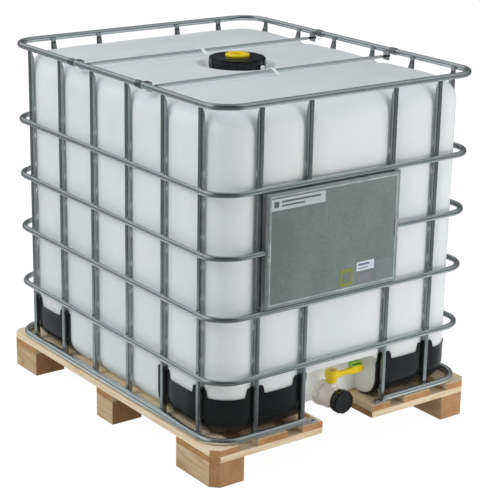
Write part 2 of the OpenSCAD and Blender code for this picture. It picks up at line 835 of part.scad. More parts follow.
module outlet_cap() {
  bore = spigot_r + thread_gap;
  color([0.1, 0.1, 0.11]) difference() {
    union() {
      outlet_ring(outlet_cap_front, -553, outlet_cap_body_r, bore);
      outlet_bar(outlet_cap_front, outlet_cap_floor, outlet_cap_body_r);
      // sixteen grip ribs
      for (i = [0:15]) translate([0, 0, outlet_z]) rotate([0, i * 22.5, 0]) intersection() {
        y_bar(0, outlet_cap_front + 1, -554, 0, outlet_cap_r);
        box(33, 40, -580, -554, -4.5, 4.5);
      }
    }
    outlet_bar(outlet_cap_floor, -550, bore);
  }
}
module outlet_cap_gasket() {
  color("Red") outlet_ring(outlet_cap_floor + gap, spigot_front - gap, 29.5, 24.5);
}

pallet_blocks();
bearers();
deck_boards();
pallet_nails();
bottom_ring();
ring_lower();
ring_lower_mid();
ring_upper_mid();
ring_upper();
top_rail();
uprights_left();
uprights_right();
uprights_front();
uprights_rear();
cross_bar_front();
cross_bar_rear();
bar_clips();
bar_studs();
bar_clamps();
bar_nuts();
frame_straps();
frame_screws();
marking_plate();
plate_rivets();
plate_stickers();
bottle();
corner_guard_fl();
corner_guard_fr();
corner_guard_rl();
corner_guard_rr();
fill_cap();
fill_cap_gasket();
vent_plug();
vent_plug_gasket();
outlet_gasket();
union_nut();
valve_body();
seat_retainer();
ball_seats();
valve_ball();
valve_stem();
stem_oring();
lever();
lever_screw();
tamper_tab();
outlet_cap();
outlet_cap_gasket();
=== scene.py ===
"""Looks of an intermediate bulk container: a blow-moulded bottle in a tube cage on a wooden pallet.

The frame's CAD pieces are loaded first and the detailed pieces ride on them. Shapes are written in
millimetres and stored in metres. +Z is up, the valve side faces -Y and the pallet stands on z = 0.
"""

import bmesh
import bpy
import math
from functools import reduce
import numpy as np
from mathutils import Matrix, Vector


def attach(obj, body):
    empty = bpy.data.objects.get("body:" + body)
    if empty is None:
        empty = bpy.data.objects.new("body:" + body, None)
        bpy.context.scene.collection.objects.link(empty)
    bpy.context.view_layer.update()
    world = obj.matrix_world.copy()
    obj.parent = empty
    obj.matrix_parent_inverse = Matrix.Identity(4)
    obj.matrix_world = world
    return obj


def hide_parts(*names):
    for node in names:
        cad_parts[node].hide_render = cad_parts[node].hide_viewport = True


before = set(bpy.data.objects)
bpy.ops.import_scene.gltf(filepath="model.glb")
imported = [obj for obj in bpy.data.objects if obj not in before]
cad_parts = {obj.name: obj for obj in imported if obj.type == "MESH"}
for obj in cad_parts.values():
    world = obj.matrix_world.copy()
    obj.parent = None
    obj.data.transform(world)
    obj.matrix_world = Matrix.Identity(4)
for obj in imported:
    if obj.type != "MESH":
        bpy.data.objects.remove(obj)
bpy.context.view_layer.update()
ROOT = "container"
MM = 0.001

# ---------------------------------------------------------------- driving dimensions, millimetres
# Cage: centre line of the rings as half sizes with a bend radius
RING_X, RING_Y, RING_BEND = 486.0, 586.0, 88.0
RINGS = {"ring_lower": 311.0, "ring_lower_mid": 504.0, "ring_upper_mid": 686.0, "ring_upper": 871.0}
CROSSINGS = list(RINGS.values())
BOTTOM_RING_Z, RAIL_Z = 128.05, 1118.5
SIDE_Y = [-480, -292, -99, 99, 292, 480]  # uprights along each long side
FRONT_X = [-333, -158, 158, 333]  # uprights along each short side
UPRIGHT_X, UPRIGHT_Y = RING_X - 8.2, RING_Y - 8.2  # outer faces of the uprights
BAR_Y, BAR_Z = 190.0, 1106.0  # cross bars over the bottle
# Pallet
PALLET_X, PALLET_Y, PALLET_CHAMFER = 500, 600, 24.0
BLOCK_TOP, BEARER_TOP, DECK_TOP = 78, 98, 118
# Bottle skin: points on an outer box are projected towards an inner block
BOX_X, BOX_Y, BOX_BOTTOM, BOX_TOP = 480.0, 580.0, 108.0, 1110.0
INNER_X, INNER_Y, INNER_BOTTOM, INNER_TOP = 345, 445, 196, 1020
# Marking plate
PLATE_LEFT, PLATE_RIGHT, PLATE_BOTTOM, PLATE_TOP, PLATE_FRONT = -324.0, 170.0, 515.0, 860.5, -597.5
PLATE_RING_Z = RINGS["ring_upper_mid"]
# Fill cap and valve
CAP_TOP, CAP_BOTTOM = 1121.0, 1081.0
VALVE_Y, VALVE_Z = -515.0, 147.0  # the stem stands at VALVE_Y, the outlet axis lies at VALVE_Z
LEVER_Z = VALVE_Z + 46.5


# ---------------------------------------------------------------- mesh helpers
class Shape:
    """Collects vertices and faces in millimetres, with a seed per vertex."""

    def __init__(self):
        self.verts, self.faces, self.smooth, self.seeds = [], [], [], []
        self.count = 0

    def add(self, verts, faces, smooth=True, seed=(0, 0, 0)):
        verts = np.asarray(verts, float).reshape(-1, 3)
        self.verts.append(verts)
        self.seeds.append(np.tile(np.asarray(seed, float), (len(verts), 1)))
        self.faces += [tuple(int(i) + self.count for i in face) for face in faces]
        self.smooth += [smooth] * len(faces)
        self.count += len(verts)
        return self

    def make(self, name, material, slot, replaces=None, body=ROOT, angle=None):
        """With an angle, normals are recalculated and edges above it, in degrees, are sharp."""
        mesh = bpy.data.meshes.new(name)
        mesh.from_pydata((np.concatenate(self.verts) * MM).tolist(), [], self.faces)
        mesh.polygons.foreach_set("material_index", np.zeros(len(self.faces), np.int32))
        mesh.polygons.foreach_set("use_smooth", np.array(self.smooth, bool))
        seed = mesh.attributes.new("seed", "FLOAT_VECTOR", "POINT")
        seed.data.foreach_set("vector", np.concatenate(self.seeds).astype(np.float32).ravel())
        mesh.materials.append(material)
        mesh.update()
        ob = bpy.data.objects.new(name, mesh)
        bpy.context.scene.collection.objects.link(ob)
        if angle is not None:
            sharpen(mesh, math.radians(angle))
        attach(ob, body)
        if replaces:
            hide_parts(replaces)
        return ob


def sharpen(mesh, limit):
    bm = bmesh.new()
    bm.from_mesh(mesh)
    bmesh.ops.recalc_face_normals(bm, faces=bm.faces)
    for edge in bm.edges:
        if len(edge.link_faces) == 2 and edge.calc_face_angle(0) > limit:
            edge.smooth = False
    bm.to_mesh(mesh)
    bm.free()


def bevel(ob, width, segments=2, angle=35):
    mod = ob.modifiers.new("bevel", "BEVEL")
    mod.width = width * MM
    mod.segments = segments
    mod.limit_method = "ANGLE"
    mod.angle_limit = math.radians(angle)
    mod.harden_normals = False


def apply_smooth(ob):
    """Applies the modifiers and shades every face smooth."""
    graph = bpy.context.evaluated_depsgraph_get()
    mesh = bpy.data.meshes.new_from_object(ob.evaluated_get(graph), depsgraph=graph)
    ob.modifiers.clear()
    ob.data = mesh
    for face in mesh.polygons:
        face.use_smooth = True


def grid_faces(rows, cols, closed_rows=False, closed_cols=False):
    faces = []
    for i in range(rows if closed_rows else rows - 1):
        here, there = i * cols, ((i + 1) % rows) * cols
        for j in range(cols if closed_cols else cols - 1):
            nxt = (j + 1) % cols
            faces.append((here + j, there + j, there + nxt, here + nxt))
    return faces


def tube_faces(sections, points):
    """Skin over successive closed sections, with both ends capped."""
    faces = grid_faces(sections, points, closed_cols=True)
    faces.append(tuple(range(points)))
    faces.append(tuple((sections - 1) * points + j for j in range(points))[::-1])
    return faces


def rim_faces(rows, cols):
    """Joins the edges of a grid to those of a second grid that follows it in the vertex list."""
    off = rows * cols
    last_row, last_col = off - cols, cols - 1
    faces = []
    for i in range(rows - 1):
        a, b = i * cols, (i + 1) * cols
        faces.append((a, off + a, off + b, b))
        a, b = a + last_col, b + last_col
        faces.append((a, b, off + b, off + a))
    for j in range(cols - 1):
        a, b = j, j + 1
        faces.append((a, b, off + b, off + a))
        a, b = last_row + j, last_row + j + 1
        faces.append((a, off + a, off + b, b))
    return faces


def rounded_rect(half_x, half_y, radius, steps):
    """Points round a rounded rectangle, anticlockwise."""
    points = []
    for k, (sx, sy) in enumerate([(1, 1), (-1, 1), (-1, -1), (1, -1)]):
        for i in range(steps + 1):
            a = math.radians(90 * k + 90 * i / steps)
            points.append((sx * (half_x - radius) + radius * math.cos(a),
                           sy * (half_y - radius) + radius * math.sin(a)))
    return np.array(points)


def lathe(profile, segments, reshape=None):
    """Turns a (radius, height) profile about Z; it is closed unless both ends are on the axis.

    reshape(angle, radius) may change the radius.
    """
    profile = np.array(profile, float)
    on_axis = profile[:, 0] < 1e-6
    count = len(profile)
    verts = []
    for i in range(segments):
        a = 2 * math.pi * i / segments
        for (radius, z), axial in zip(profile, on_axis):
            r = reshape(a, radius) if reshape and not axial else radius
            verts.append((r * math.cos(a), r * math.sin(a), z))
    faces = []
    for i in range(segments):
        here, there = i * count, ((i + 1) % segments) * count
        for j in range(count - 1 if on_axis[0] and on_axis[-1] else count):
            nxt = (j + 1) % count
            if on_axis[j] and on_axis[nxt]:
                continue
            if on_axis[j]:
                faces.append((j, there + nxt, here + nxt))
            elif on_axis[nxt]:
                faces.append((here + j, there + j, nxt))
            else:
                faces.append((here + j, there + j, there + nxt, here + nxt))
    used = sorted({i for face in faces for i in face})
    place = {old: new for new, old in enumerate(used)}
    return np.array(verts)[used], [tuple(place[i] for i in face) for face in faces]


def fillet(points, radius, steps=4, closed=False):
    """Rounds the corners of a polyline. A point (x, y, r) has its own radius r."""
    out = []
    count = len(points)
    for i, point in enumerate(points):
        rad = point[2] if len(point) > 2 else radius
        corner = np.array(point[:2], float)
        out.append(tuple(corner))
        if (not closed and i in (0, count - 1)) or rad <= 0:
            continue
        back = np.array(points[(i - 1) % count][:2], float) - corner
        ahead = np.array(points[(i + 1) % count][:2], float) - corner
        back_len, ahead_len = np.linalg.norm(back), np.linalg.norm(ahead)
        if back_len < 1e-9 or ahead_len < 1e-9:
            continue
        back, ahead = back / back_len, ahead / ahead_len
        angle = math.acos(float(np.clip(back @ ahead, -1, 1)))
        if angle > math.pi - 1e-3 or angle < 1e-3:
            continue
        out.pop()  # the arc takes the corner's place
        cut = min(rad / math.tan(angle / 2), back_len * 0.48, ahead_len * 0.48)
        rad = cut * math.tan(angle / 2)
        middle = (back + ahead) / np.linalg.norm(back + ahead)
        centre = corner + middle * rad / math.sin(angle / 2)
        start, end = corner + back * cut - centre, corner + ahead * cut - centre
        a0, a1 = math.atan2(start[1], start[0]), math.atan2(end[1], end[0])
        sweep = (a1 - a0 + math.pi) % (2 * math.pi) - math.pi
        for k in range(steps + 1):
            a = a0 + sweep * k / steps
            out.append((centre[0] + rad * math.cos(a), centre[1] + rad * math.sin(a)))
    return out


def turned(profile, segments, radius, steps=3, closed=True, reshape=None):
    """Lathe of a profile with rounded corners."""
    return lathe(fillet(profile, radius, steps, closed), segments, reshape)


def prism(outline, z0, z1):
    """Solid from an anticlockwise outline between two heights."""
    n = len(outline)
    verts = [(x, y, z) for z in (z0, z1) for x, y in outline]
    faces = [tuple(range(n))[::-1], tuple(range(n, 2 * n))]
    faces += [(i, (i + 1) % n, n + (i + 1) % n, n + i) for i in range(n)]
    return np.array(verts, float), faces


def rectangle(a0, a1, b0, b1):
    return [(a0, b0), (a1, b0), (a1, b1), (a0, b1)]


def extrude(outline, start, end, axis=1):
    """Solid from an outline pushed along X (axis 0) or Y (axis 1)."""
    n = len(outline)
    verts = np.concatenate([np.insert(np.array(outline, float), axis, at, axis=1)
                            for at in (start, end)])
    faces = [tuple(range(n)), tuple(range(n, 2 * n))[::-1]]
    faces += [(i, n + i, n + (i + 1) % n, (i + 1) % n) for i in range(n)]
    return verts, faces


def turn_z(verts, degrees):
    a = math.radians(degrees)
    c, s = math.cos(a), math.sin(a)
    x, y, z = np.asarray(verts, float).T
    return np.stack([x * c - y * s, x * s + y * c, z], 1)


def to_valve(verts):
    """Lays a lathe's axis on the outlet axis: height h becomes y = -h."""
    x, y, z = np.asarray(verts, float).T
    return np.stack([x, -z, VALVE_Z + y], 1)


def smoothstep(t):
    t = np.clip(t, 0, 1)
    return t * t * (3 - 2 * t)


def bell(values, centre, width):
    return np.exp(-(((values - centre) / width) ** 2))


def rib(angle, pitch, half, fade, start=0):
    """1 on ribs repeated every pitch degrees, fading to 0 between them."""
    off = (math.degrees(angle) - start) % pitch
    return float(smoothstep((half - min(off, pitch - off)) / fade))


def value_noise(points, seed=0):
    """Smooth value noise on an (n, 3) array, about -1..1."""
    points = np.asarray(points, float)
    cell = np.floor(points).astype(np.int64)
    part = smoothstep(points - cell)

    def scramble(a):
        mixed = (a[:, 0] * 73856093) ^ (a[:, 1] * 19349663) ^ (a[:, 2] * 83492791)
        mixed = mixed ^ (seed * 2654435761)
        mixed = (mixed ^ (mixed >> 13)) * 1274126177 & 0x7FFFFFFF
        return ((mixed ^ (mixed >> 16)) & 0xFFFF) / 32767.5 - 1

    out = np.zeros(len(points))
    for corner in np.ndindex(2, 2, 2):
        weight = np.where(corner, part, 1 - part)
        out += weight[:, 0] * weight[:, 1] * weight[:, 2] * scramble(cell + np.array(corner))
    return out


# ---------------------------------------------------------------- node helpers
class Nodes:
    """Builds one node tree. In input names _ stands for a space; i0, i1... pick by place."""

    def __init__(self, owner, output="OutputMaterial"):
        owner.use_nodes = True
        self.owner, self.tree = owner, owner.node_tree
        self.tree.nodes.clear()
        self.output = self.node(output)
        self.object_coord = None

    def node(self, kind, props=None, **inputs):
        node = self.tree.nodes.new("ShaderNode" + kind)
        for key, value in (props or {}).items():
            setattr(node, key, value)
        for key, value in inputs.items():
            self.put(node, key, value)
        return node

    def put(self, node, key, value):
        by_place = key.startswith("i") and key[1:].isdigit()
        socket = node.inputs[int(key[1:]) if by_place else key.replace("_", " ")]
        if isinstance(value, bpy.types.Node):
            value = value.outputs[0]
        if isinstance(value, bpy.types.NodeSocket):
            self.tree.links.new(value, socket)
        else:
            socket.default_value = (*value, 1.0) if socket.type == "RGBA" else value

    def coord(self):
        if self.object_coord is None:
            self.object_coord = self.node("TexCoord").outputs["Object"]
        return self.object_coord

    def stretch(self, vector, scales):
        return self.node("VectorMath", {"operation": "MULTIPLY"}, i0=vector, i1=scales).outputs[0]

    def scaled(self, *scales):
        return self.stretch(self.coord(), scales)

    def split(self, vector):
        return list(self.node("SeparateXYZ", Vector=vector).outputs)

    def dot(self, vector, direction):
        node = self.node("VectorMath", {"operation": "DOT_PRODUCT"}, i0=vector, i1=direction)
        return node.outputs["Value"]

    def noise(self, vector, scale=1.0, detail=3.0, rough=0.55):
        return self.node("TexNoise", Vector=vector, Scale=scale, Detail=detail,
                         Roughness=rough).outputs[0]

    def voronoi(self, vector, scale):
        return self.node("TexVoronoi", {"feature": "F1"}, Vector=vector, Scale=scale).outputs

    def spangle(self, scale):
        """One random value per zinc crystal."""
        return self.node("SeparateColor", Color=self.voronoi(self.coord(), scale)["Color"]).outputs[0]

    def math(self, operation, a, b=0.0, clamp=False):
        return self.node("Math", {"operation": operation, "use_clamp": clamp}, i0=a, i1=b).outputs[0]

    def add(self, a, b, clamp=False):
        return self.math("ADD", a, b, clamp)

    def sub(self, a, b):
        return self.math("SUBTRACT", a, b)

    def mul(self, a, b):
        return self.math("MULTIPLY", a, b)

    def total(self, *terms):
        """Sum of (value, weight) pairs."""
        return reduce(self.add, [self.mul(*term) for term in terms])

    def remap(self, value, span, to=(0.0, 1.0), smooth=False):
        kind = "SMOOTHSTEP" if smooth else "LINEAR"
        return self.node("MapRange", {"clamp": True, "interpolation_type": kind}, Value=value,
                         From_Min=span[0], From_Max=span[1], To_Min=to[0], To_Max=to[1]).outputs[0]

    def mix(self, factor, a, b, blend="MIX"):
        return self.node("Mix", {"data_type": "RGBA", "blend_type": blend},
                         i0=factor, i6=a, i7=b).outputs[2]

    def bump(self, height, strength, distance):
        return self.node("Bump", Height=height, Strength=strength, Distance=distance).outputs[0]

    def finish(self, **inputs):
        self.put(self.output, "i0", self.node("BsdfPrincipled", **inputs))
        return self.owner


def material_nodes(name):
    return Nodes(bpy.data.materials.new(name))


# ---------------------------------------------------------------- materials
def steel(name, dark, light, rough=(0.25, 0.42), spangle=70.0, amount=0.5, metallic=0.92,
          bump=0.25, streak=(40, 40, 4)):
    """Zinc or steel: crystals of a spangle scale and amount, clouds, and streaks along Z."""
    mat = material_nodes(name)
    cell = mat.spangle(spangle)
    cloud = mat.noise(mat.coord(), scale=9.0, detail=4.0)
    streaks = mat.noise(mat.scaled(*streak), scale=6.0, detail=3.0)
    fine = mat.noise(mat.coord(), scale=700.0, detail=2.0)
    shade = mat.total((cell, amount), (cloud, 0.6), (streaks, 0.5))
    dull = mat.total((cell, 0.5 * amount), (streaks, 0.7))
    height = mat.total((cloud, 0.7), (fine, 0.12), (cell, 0.05 * amount))
    return mat.finish(
        Base_Color=mat.mix(mat.remap(shade, span=(0.35, 1.15)), dark, light),
        Metallic=metallic,
        Roughness=mat.remap(dull, span=(0.2, 0.8), to=rough),
        Normal=mat.bump(height, strength=bump, distance=0.0012))


def sheet(name):
    """Pressed galvanised sheet: fine spangle, darker towards -X, with a painted highlight along its
    rim and the line of its step.
    """
    mat = material_nodes(name)
    x, _, z = mat.split(mat.coord())
    cell = mat.spangle(110.0)
    cloud = mat.noise(mat.coord(), scale=8.0, detail=4.0)
    drift = mat.noise(mat.scaled(1.0, 1.0, 0.28), scale=11.0, detail=3.0)
    fine = mat.noise(mat.coord(), scale=700.0, detail=2.0)
    shade = mat.total((cell, 0.22), (cloud, 0.45), (drift, 0.75))
    shade = mat.add(shade, mat.remap(x, span=(-0.31, 0.02), to=(-0.16, 0.10)))
    color = mat.mix(mat.remap(shade, span=(0.45, 0.98)),
                    (0.232, 0.278, 0.264), (0.322, 0.384, 0.366))
    # distance from the plate's edge, in metres, for the painted highlight: the rim first, then the
    # line of its step
    to_side = mat.math("MINIMUM", mat.sub(x, PLATE_LEFT * MM), mat.sub(PLATE_RIGHT * MM, x))
    to_end = mat.math("MINIMUM", mat.sub(z, PLATE_BOTTOM * MM), mat.sub(PLATE_TOP * MM, z))
    edge = mat.math("MINIMUM", to_side, to_end)
    rim = mat.remap(edge, span=(0.006, 0.0095), to=(1.0, 0.0))
    from_step = mat.math("ABSOLUTE", mat.sub(edge, 0.0115))
    step_highlight = mat.remap(from_step, span=(0.0008, 0.0034), to=(1.0, 0.0))
    # patchy strength of the painted highlight
    patches = mat.noise(mat.scaled(1, 1, 1), scale=26.0, detail=3.0)
    highlight_patches = mat.remap(patches, span=(0.35, 0.62), to=(0.45, 1.0))
    painted_highlight = mat.mul(mat.math("MAXIMUM", mat.mul(rim, 0.20), mat.mul(step_highlight, 0.85)), highlight_patches)
    dull = mat.total((cell, 0.3), (drift, 0.7))
    height = mat.total((cloud, 0.7), (fine, 0.12))
    # painted highlight: a pale, less metallic colour over the rim and the step
    return mat.finish(
        Base_Color=mat.mix(painted_highlight, color, (0.70, 0.78, 0.79)),
        Metallic=mat.sub(0.5, mat.mul(painted_highlight, 0.3)),
        Roughness=mat.remap(dull, span=(0.2, 0.8), to=(0.38, 0.5)),
        Normal=mat.bump(height, strength=0.06, distance=0.0012))


def plastic(name, base, light, rough=(0.28, 0.42), bump=0.12, spec=0.5, scatter=None, **extra):
    """Moulded plastic. scatter is (weight, radius in metres); extra goes to the shader."""
    mat = material_nodes(name)
    waves = mat.noise(mat.coord(), scale=6.0, detail=3.0)
    grain = mat.noise(mat.coord(), scale=260.0, detail=2.0)
    scuff = mat.noise(mat.scaled(30, 30, 4), scale=8.0, detail=4.0, rough=0.65)
    dull = mat.total((scuff, 0.7), (grain, 0.3))
    height = mat.total((waves, 0.8), (grain, 0.06))
    if scatter:
        extra.update(Subsurface_Weight=scatter[0], Subsurface_Radius=scatter[1],
                     Subsurface_Scale=1.0)
    return mat.finish(
        Base_Color=mat.mix(mat.remap(waves, span=(0.3, 0.7)), base, light),
        Roughness=mat.remap(dull, span=(0.3, 0.75), to=rough),
        Normal=mat.bump(height, strength=bump, distance=0.001),
        IOR=1.5, Specular_IOR_Level=spec, **extra)


def hdpe(name):
    """Blow-moulded natural polyethylene: cloudy, softly glossy, folded near the top, with its top
    painted darker as shade and a painted glow round the valve pocket.
    """
    mat = material_nodes(name)
    broad = mat.noise(mat.coord(), scale=2.2, detail=3.0)
    cloud = mat.noise(mat.scaled(1, 1, 0.35), scale=9.0, detail=3.0)
    peel = mat.noise(mat.coord(), scale=120.0, detail=2.0)
    fold = mat.noise(mat.scaled(1, 1, 1.6), scale=13.0, detail=2.0)
    x, y, z = mat.split(mat.coord())
    top = mat.remap(z, span=(1.03, 1.10))
    color = mat.mix(mat.remap(broad, span=(0.3, 0.7)), (0.735, 0.772, 0.788), (0.798, 0.822, 0.828))
    color = mat.mix(mat.remap(cloud, span=(0.35, 0.7), to=(0, 0.35)), color, (0.86, 0.87, 0.87))
    # painted shade: the top is mixed towards a darker grey
    color = mat.mix(mat.mul(top, 0.55), color, (0.72, 0.75, 0.765))
    folded = mat.remap(z, span=(0.96, 1.03), to=(0.0, 2.2))
    height = mat.total((cloud, 1.0), (peel, 0.05), (fold, folded))
    # painted glow: the wall round the valve pocket emits light, standing in for light carried through
    # the translucent bottle
    near = mat.remap(mat.math("ABSOLUTE", x), span=(0.10, 0.16), to=(1.0, 0.0))
    near = mat.mul(near, mat.remap(y, span=(-0.50, -0.40), to=(1.0, 0.0)))
    near = mat.mul(near, mat.remap(z, span=(0.19, 0.27), to=(1.0, 0.0)))
    return mat.finish(
        Base_Color=color, IOR=1.5,
        Roughness=mat.remap(cloud, span=(0.3, 0.7), to=(0.30, 0.44)),
        Subsurface_Weight=0.65, Subsurface_Radius=(0.050, 0.053, 0.056), Subsurface_Scale=1.0,
        Emission_Color=(0.95, 0.97, 0.94), Emission_Strength=mat.mul(near, 0.24),
        Normal=mat.bump(height, strength=0.22, distance=0.004))


def wood(name, axis, pale, ring, end_pale, end_dark):
    """Sawn softwood, fibres along axis (0 = X, 1 = Y). The seed moves each board's pattern."""
    mat = material_nodes(name)
    seed = mat.node("Attribute", {"attribute_name": "seed"}).outputs["Vector"]
    seed_heart, seed_depth, seed_tone = mat.split(seed)
    place = mat.node("VectorMath", {"operation": "ADD"}, i0=mat.coord(),
                     i1=mat.stretch(seed, (3.1, 3.7, 2.3))).outputs[0]
    if axis == 0:
        x, y, z = mat.split(place)
        place = mat.node("CombineXYZ", X=y, Y=x, Z=z).outputs[0]

    def along(across, lengthwise, detail):
        """Noise with separate scales across and along the fibres."""
        return mat.noise(mat.stretch(place, (across, lengthwise, across)), detail=detail)

    # distance from the tree's heart, which lies below each board and drifts along it
    x, y, z = mat.split(mat.coord())
    warp = along(5.0, 0.9, detail=3.0)
    heart_x = mat.add(y if axis == 0 else x, mat.mul(seed_heart, 0.10))
    heart_x = mat.add(heart_x, mat.mul(mat.sub(warp, 0.5), 0.09))
    heart_z = mat.add(z, mat.add(0.02, mat.mul(seed_depth, 0.12)))
    radius = mat.math("SQRT", mat.total((heart_x, heart_x), (heart_z, heart_z)))
    radius = mat.add(radius, mat.mul(along(18.0, 2.2, detail=2.0), 0.006))
    ring_pitch = 0.0062
    wave = mat.math("SINE", mat.mul(radius, 2 * math.pi / ring_pitch))
    late = mat.math("POWER", mat.remap(wave, span=(-0.35, 1.0)), 1.8)
    fibre = along(420.0, 9.0, detail=2.0)
    broad = along(16.0, 1.6, detail=3.0)
    figure = mat.total((late, 0.55), (mat.remap(fibre, span=(0.35, 0.7)), 0.22))
    figure = mat.add(figure, mat.remap(broad, span=(0.35, 0.7), to=(0, 0.35)), clamp=True)
    tone = mat.mix(seed_tone, (1.04, 1.02, 0.98), (0.90, 0.86, 0.80))
    color = mat.mix(1.0, mat.mix(figure, pale, ring), tone, "MULTIPLY")
    # knots with a darker halo
    knot = mat.voronoi(mat.stretch(place, (9.0, 3.2, 9.0)), 1.0)["Distance"]
    halo = mat.remap(knot, span=(0.12, 0.34), to=(0.5, 0.0))
    color = mat.mix(halo, color, (ring[0] * 0.95, ring[1] * 0.85, ring[2] * 0.7))
    core = mat.remap(knot, span=(0.10, 0.17), to=(1.0, 0.0))
    color = mat.mix(mat.mul(core, 0.8), color, (0.20, 0.085, 0.03))
    # end grain
    normal = mat.split(mat.node("NewGeometry").outputs["True Normal"])
    is_end = mat.remap(mat.math("ABSOLUTE", normal[axis]), span=(0.45, 0.62))
    blot = mat.remap(along(22.0, 22.0, detail=4.0), span=(0.3, 0.7), to=(0.0, 0.6))
    end = mat.mix(mat.add(mat.mul(late, 0.5), blot, clamp=True), end_pale, end_dark)
    pores = mat.noise(mat.coord(), scale=900.0, detail=2.0)
    end = mat.mix(mat.remap(pores, span=(0.5, 0.75), to=(0.0, 0.35)), end, (0.16, 0.07, 0.03))
    end = mat.mix(1.0, end, tone, "MULTIPLY")
    saw = along(30.0, 300.0, detail=1.0)
    height = mat.add(mat.mul(fibre, 0.6), mat.total((late, 0.35), (saw, 0.25)))
    return mat.finish(
        Base_Color=mat.mix(is_end, color, end),
        Roughness=mat.remap(figure, span=(0.0, 1.0), to=(0.78, 0.62)),
        Normal=mat.bump(height, strength=0.45, distance=0.0008), Specular_IOR_Level=0.25)


def label(name, base, bars, ink):
    """Blank film with plain bars, each (x0, x1, z0, z1) in millimetres."""
    mat = material_nodes(name)
    x, _, z = mat.split(mat.coord())

    def between(value, start, end):
        return mat.mul(mat.math("GREATER_THAN", value, start * MM),
                       mat.math("LESS_THAN", value, end * MM))

    masks = [mat.mul(between(x, x0, x1), between(z, z0, z1)) for x0, x1, z0, z1 in bars]
    grain = mat.noise(mat.coord(), scale=300.0, detail=2.0)
    color = mat.mix(mat.remap(grain, span=(0.3, 0.7), to=(0, 0.25)),
                    base, [c * 0.9 for c in base])
    if masks:
        color = mat.mix(reduce(lambda a, b: mat.math("MAXIMUM", a, b), masks), color, ink)
    return mat.finish(
        Base_Color=color, Roughness=mat.remap(grain, span=(0.3, 0.7), to=(0.32, 0.46)),
        Normal=mat.bump(grain, strength=0.05, distance=0.0005))


# End grain is shared by the long boards
END_GRAIN = dict(end_pale=(0.62, 0.38, 0.19), end_dark=(0.36, 0.17, 0.06))
LOOKS = {
    "tube": steel("galvanised_tube", dark=(0.54, 0.60, 0.61), light=(0.74, 0.80, 0.80),
                  rough=(0.17, 0.26), spangle=140, amount=0.10, bump=0.05),
    "rail": steel("galvanised_rail", dark=(0.56, 0.62, 0.63), light=(0.76, 0.82, 0.82),
                  rough=(0.13, 0.22), spangle=140, amount=0.10, bump=0.05),
    # painted reflection and shade: the uprights' copy of the galvanised coating is painted darker
    # than the rings' and rail's, and its streaks stand in for dark reflected lines
    "upright": steel("galvanised_upright", dark=(0.25, 0.275, 0.28), light=(0.53, 0.57, 0.575),
                     rough=(0.14, 0.26), spangle=120, amount=0.12, bump=0.07, streak=(55, 55, 2.5)),
    "bar": steel("galvanised_bar", dark=(0.70, 0.75, 0.76), light=(0.80, 0.85, 0.86),
                 rough=(0.20, 0.28), spangle=40, amount=0.05, bump=0.0, streak=(3, 3, 3)),
    "clamp": steel("clamp_steel", dark=(0.13, 0.14, 0.145), light=(0.46, 0.48, 0.49),
                   rough=(0.16, 0.30), spangle=90, amount=0.5, bump=0.2, streak=(60, 60, 60)),
    "foot": steel("galvanised_low_tube", dark=(0.66, 0.71, 0.72), light=(0.80, 0.85, 0.86),
                  rough=(0.20, 0.34), spangle=60, amount=0.08, bump=0.02),
    "sheet": sheet("galvanised_sheet"),
    "zinc": steel("zinc_steel", dark=(0.50, 0.53, 0.54), light=(0.74, 0.76, 0.77),
                  rough=(0.2, 0.35), spangle=300, amount=0.2, bump=0.1),
    "bead": steel("weld_zinc", dark=(0.66, 0.70, 0.71), light=(0.90, 0.92, 0.93),
                  rough=(0.2, 0.4), spangle=600, amount=0.3, metallic=0.6),
    "dark": steel("dark_steel", dark=(0.035, 0.038, 0.04), light=(0.12, 0.12, 0.12),
                  rough=(0.3, 0.5), spangle=200, amount=0.3, metallic=0.8),
    "nail": steel("nail_steel", dark=(0.10, 0.09, 0.08), light=(0.26, 0.24, 0.22),
                  rough=(0.4, 0.6), spangle=400, amount=0.5, metallic=0.7),
    "hdpe": hdpe("bottle_hdpe"),
    "black": plastic("black_plastic", base=(0.0105, 0.0118, 0.0125),
                     light=(0.0155, 0.0175, 0.0185), rough=(0.16, 0.28), bump=0.10, spec=0.22),
    "capblack": plastic("cap_black_plastic", base=(0.006, 0.007, 0.008),
                        light=(0.009, 0.0105, 0.012), rough=(0.13, 0.24), bump=0.05, spec=0.34),
    "yellow": plastic("yellow_plastic", base=(0.82, 0.60, 0.006), light=(0.90, 0.68, 0.010),
                      rough=(0.26, 0.4), bump=0.06, scatter=(0.12, (0.004, 0.003, 0.001))),
    "green": plastic("green_plastic", base=(0.27, 0.52, 0.03), light=(0.34, 0.60, 0.04),
                     rough=(0.3, 0.45), scatter=(0.1, (0.003, 0.004, 0.001))),
    # the valve plastic's faint warm emission is a painted glow, standing in for light carried through
    # the translucent plastic
    "natural": plastic("natural_plastic", base=(0.80, 0.765, 0.69), light=(0.87, 0.84, 0.775),
                       rough=(0.22, 0.36), bump=0.08, scatter=(0.5, (0.014, 0.013, 0.010)),
                       Transmission_Weight=0.12, Emission_Color=(1.0, 0.91, 0.76),
                       Emission_Strength=0.045),
    "clip": plastic("white_clip_plastic", base=(0.88, 0.89, 0.89), light=(0.94, 0.95, 0.95),
                    rough=(0.22, 0.36), scatter=(0.3, (0.006, 0.006, 0.006))),
    "rubber": plastic("gasket_rubber", base=(0.02, 0.02, 0.02), light=(0.04, 0.04, 0.04),
                      rough=(0.6, 0.8), bump=0.1),
    # the deck copy of the board wood is painted paler than the bearers: painted light on the boards'
    # lit tops
    "deck_wood": wood("board_wood_y", axis=1, pale=(0.98, 0.87, 0.68), ring=(0.82, 0.62, 0.39),
                      **END_GRAIN),
    "bearer_wood": wood("board_wood_x", axis=0, pale=(0.90, 0.78, 0.59), ring=(0.72, 0.53, 0.32),
                        **END_GRAIN),
    "block_wood": wood("block_wood", axis=1, pale=(0.74, 0.59, 0.40), ring=(0.53, 0.355, 0.19),
                       end_pale=(0.60, 0.37, 0.20), end_dark=(0.38, 0.19, 0.08)),
}


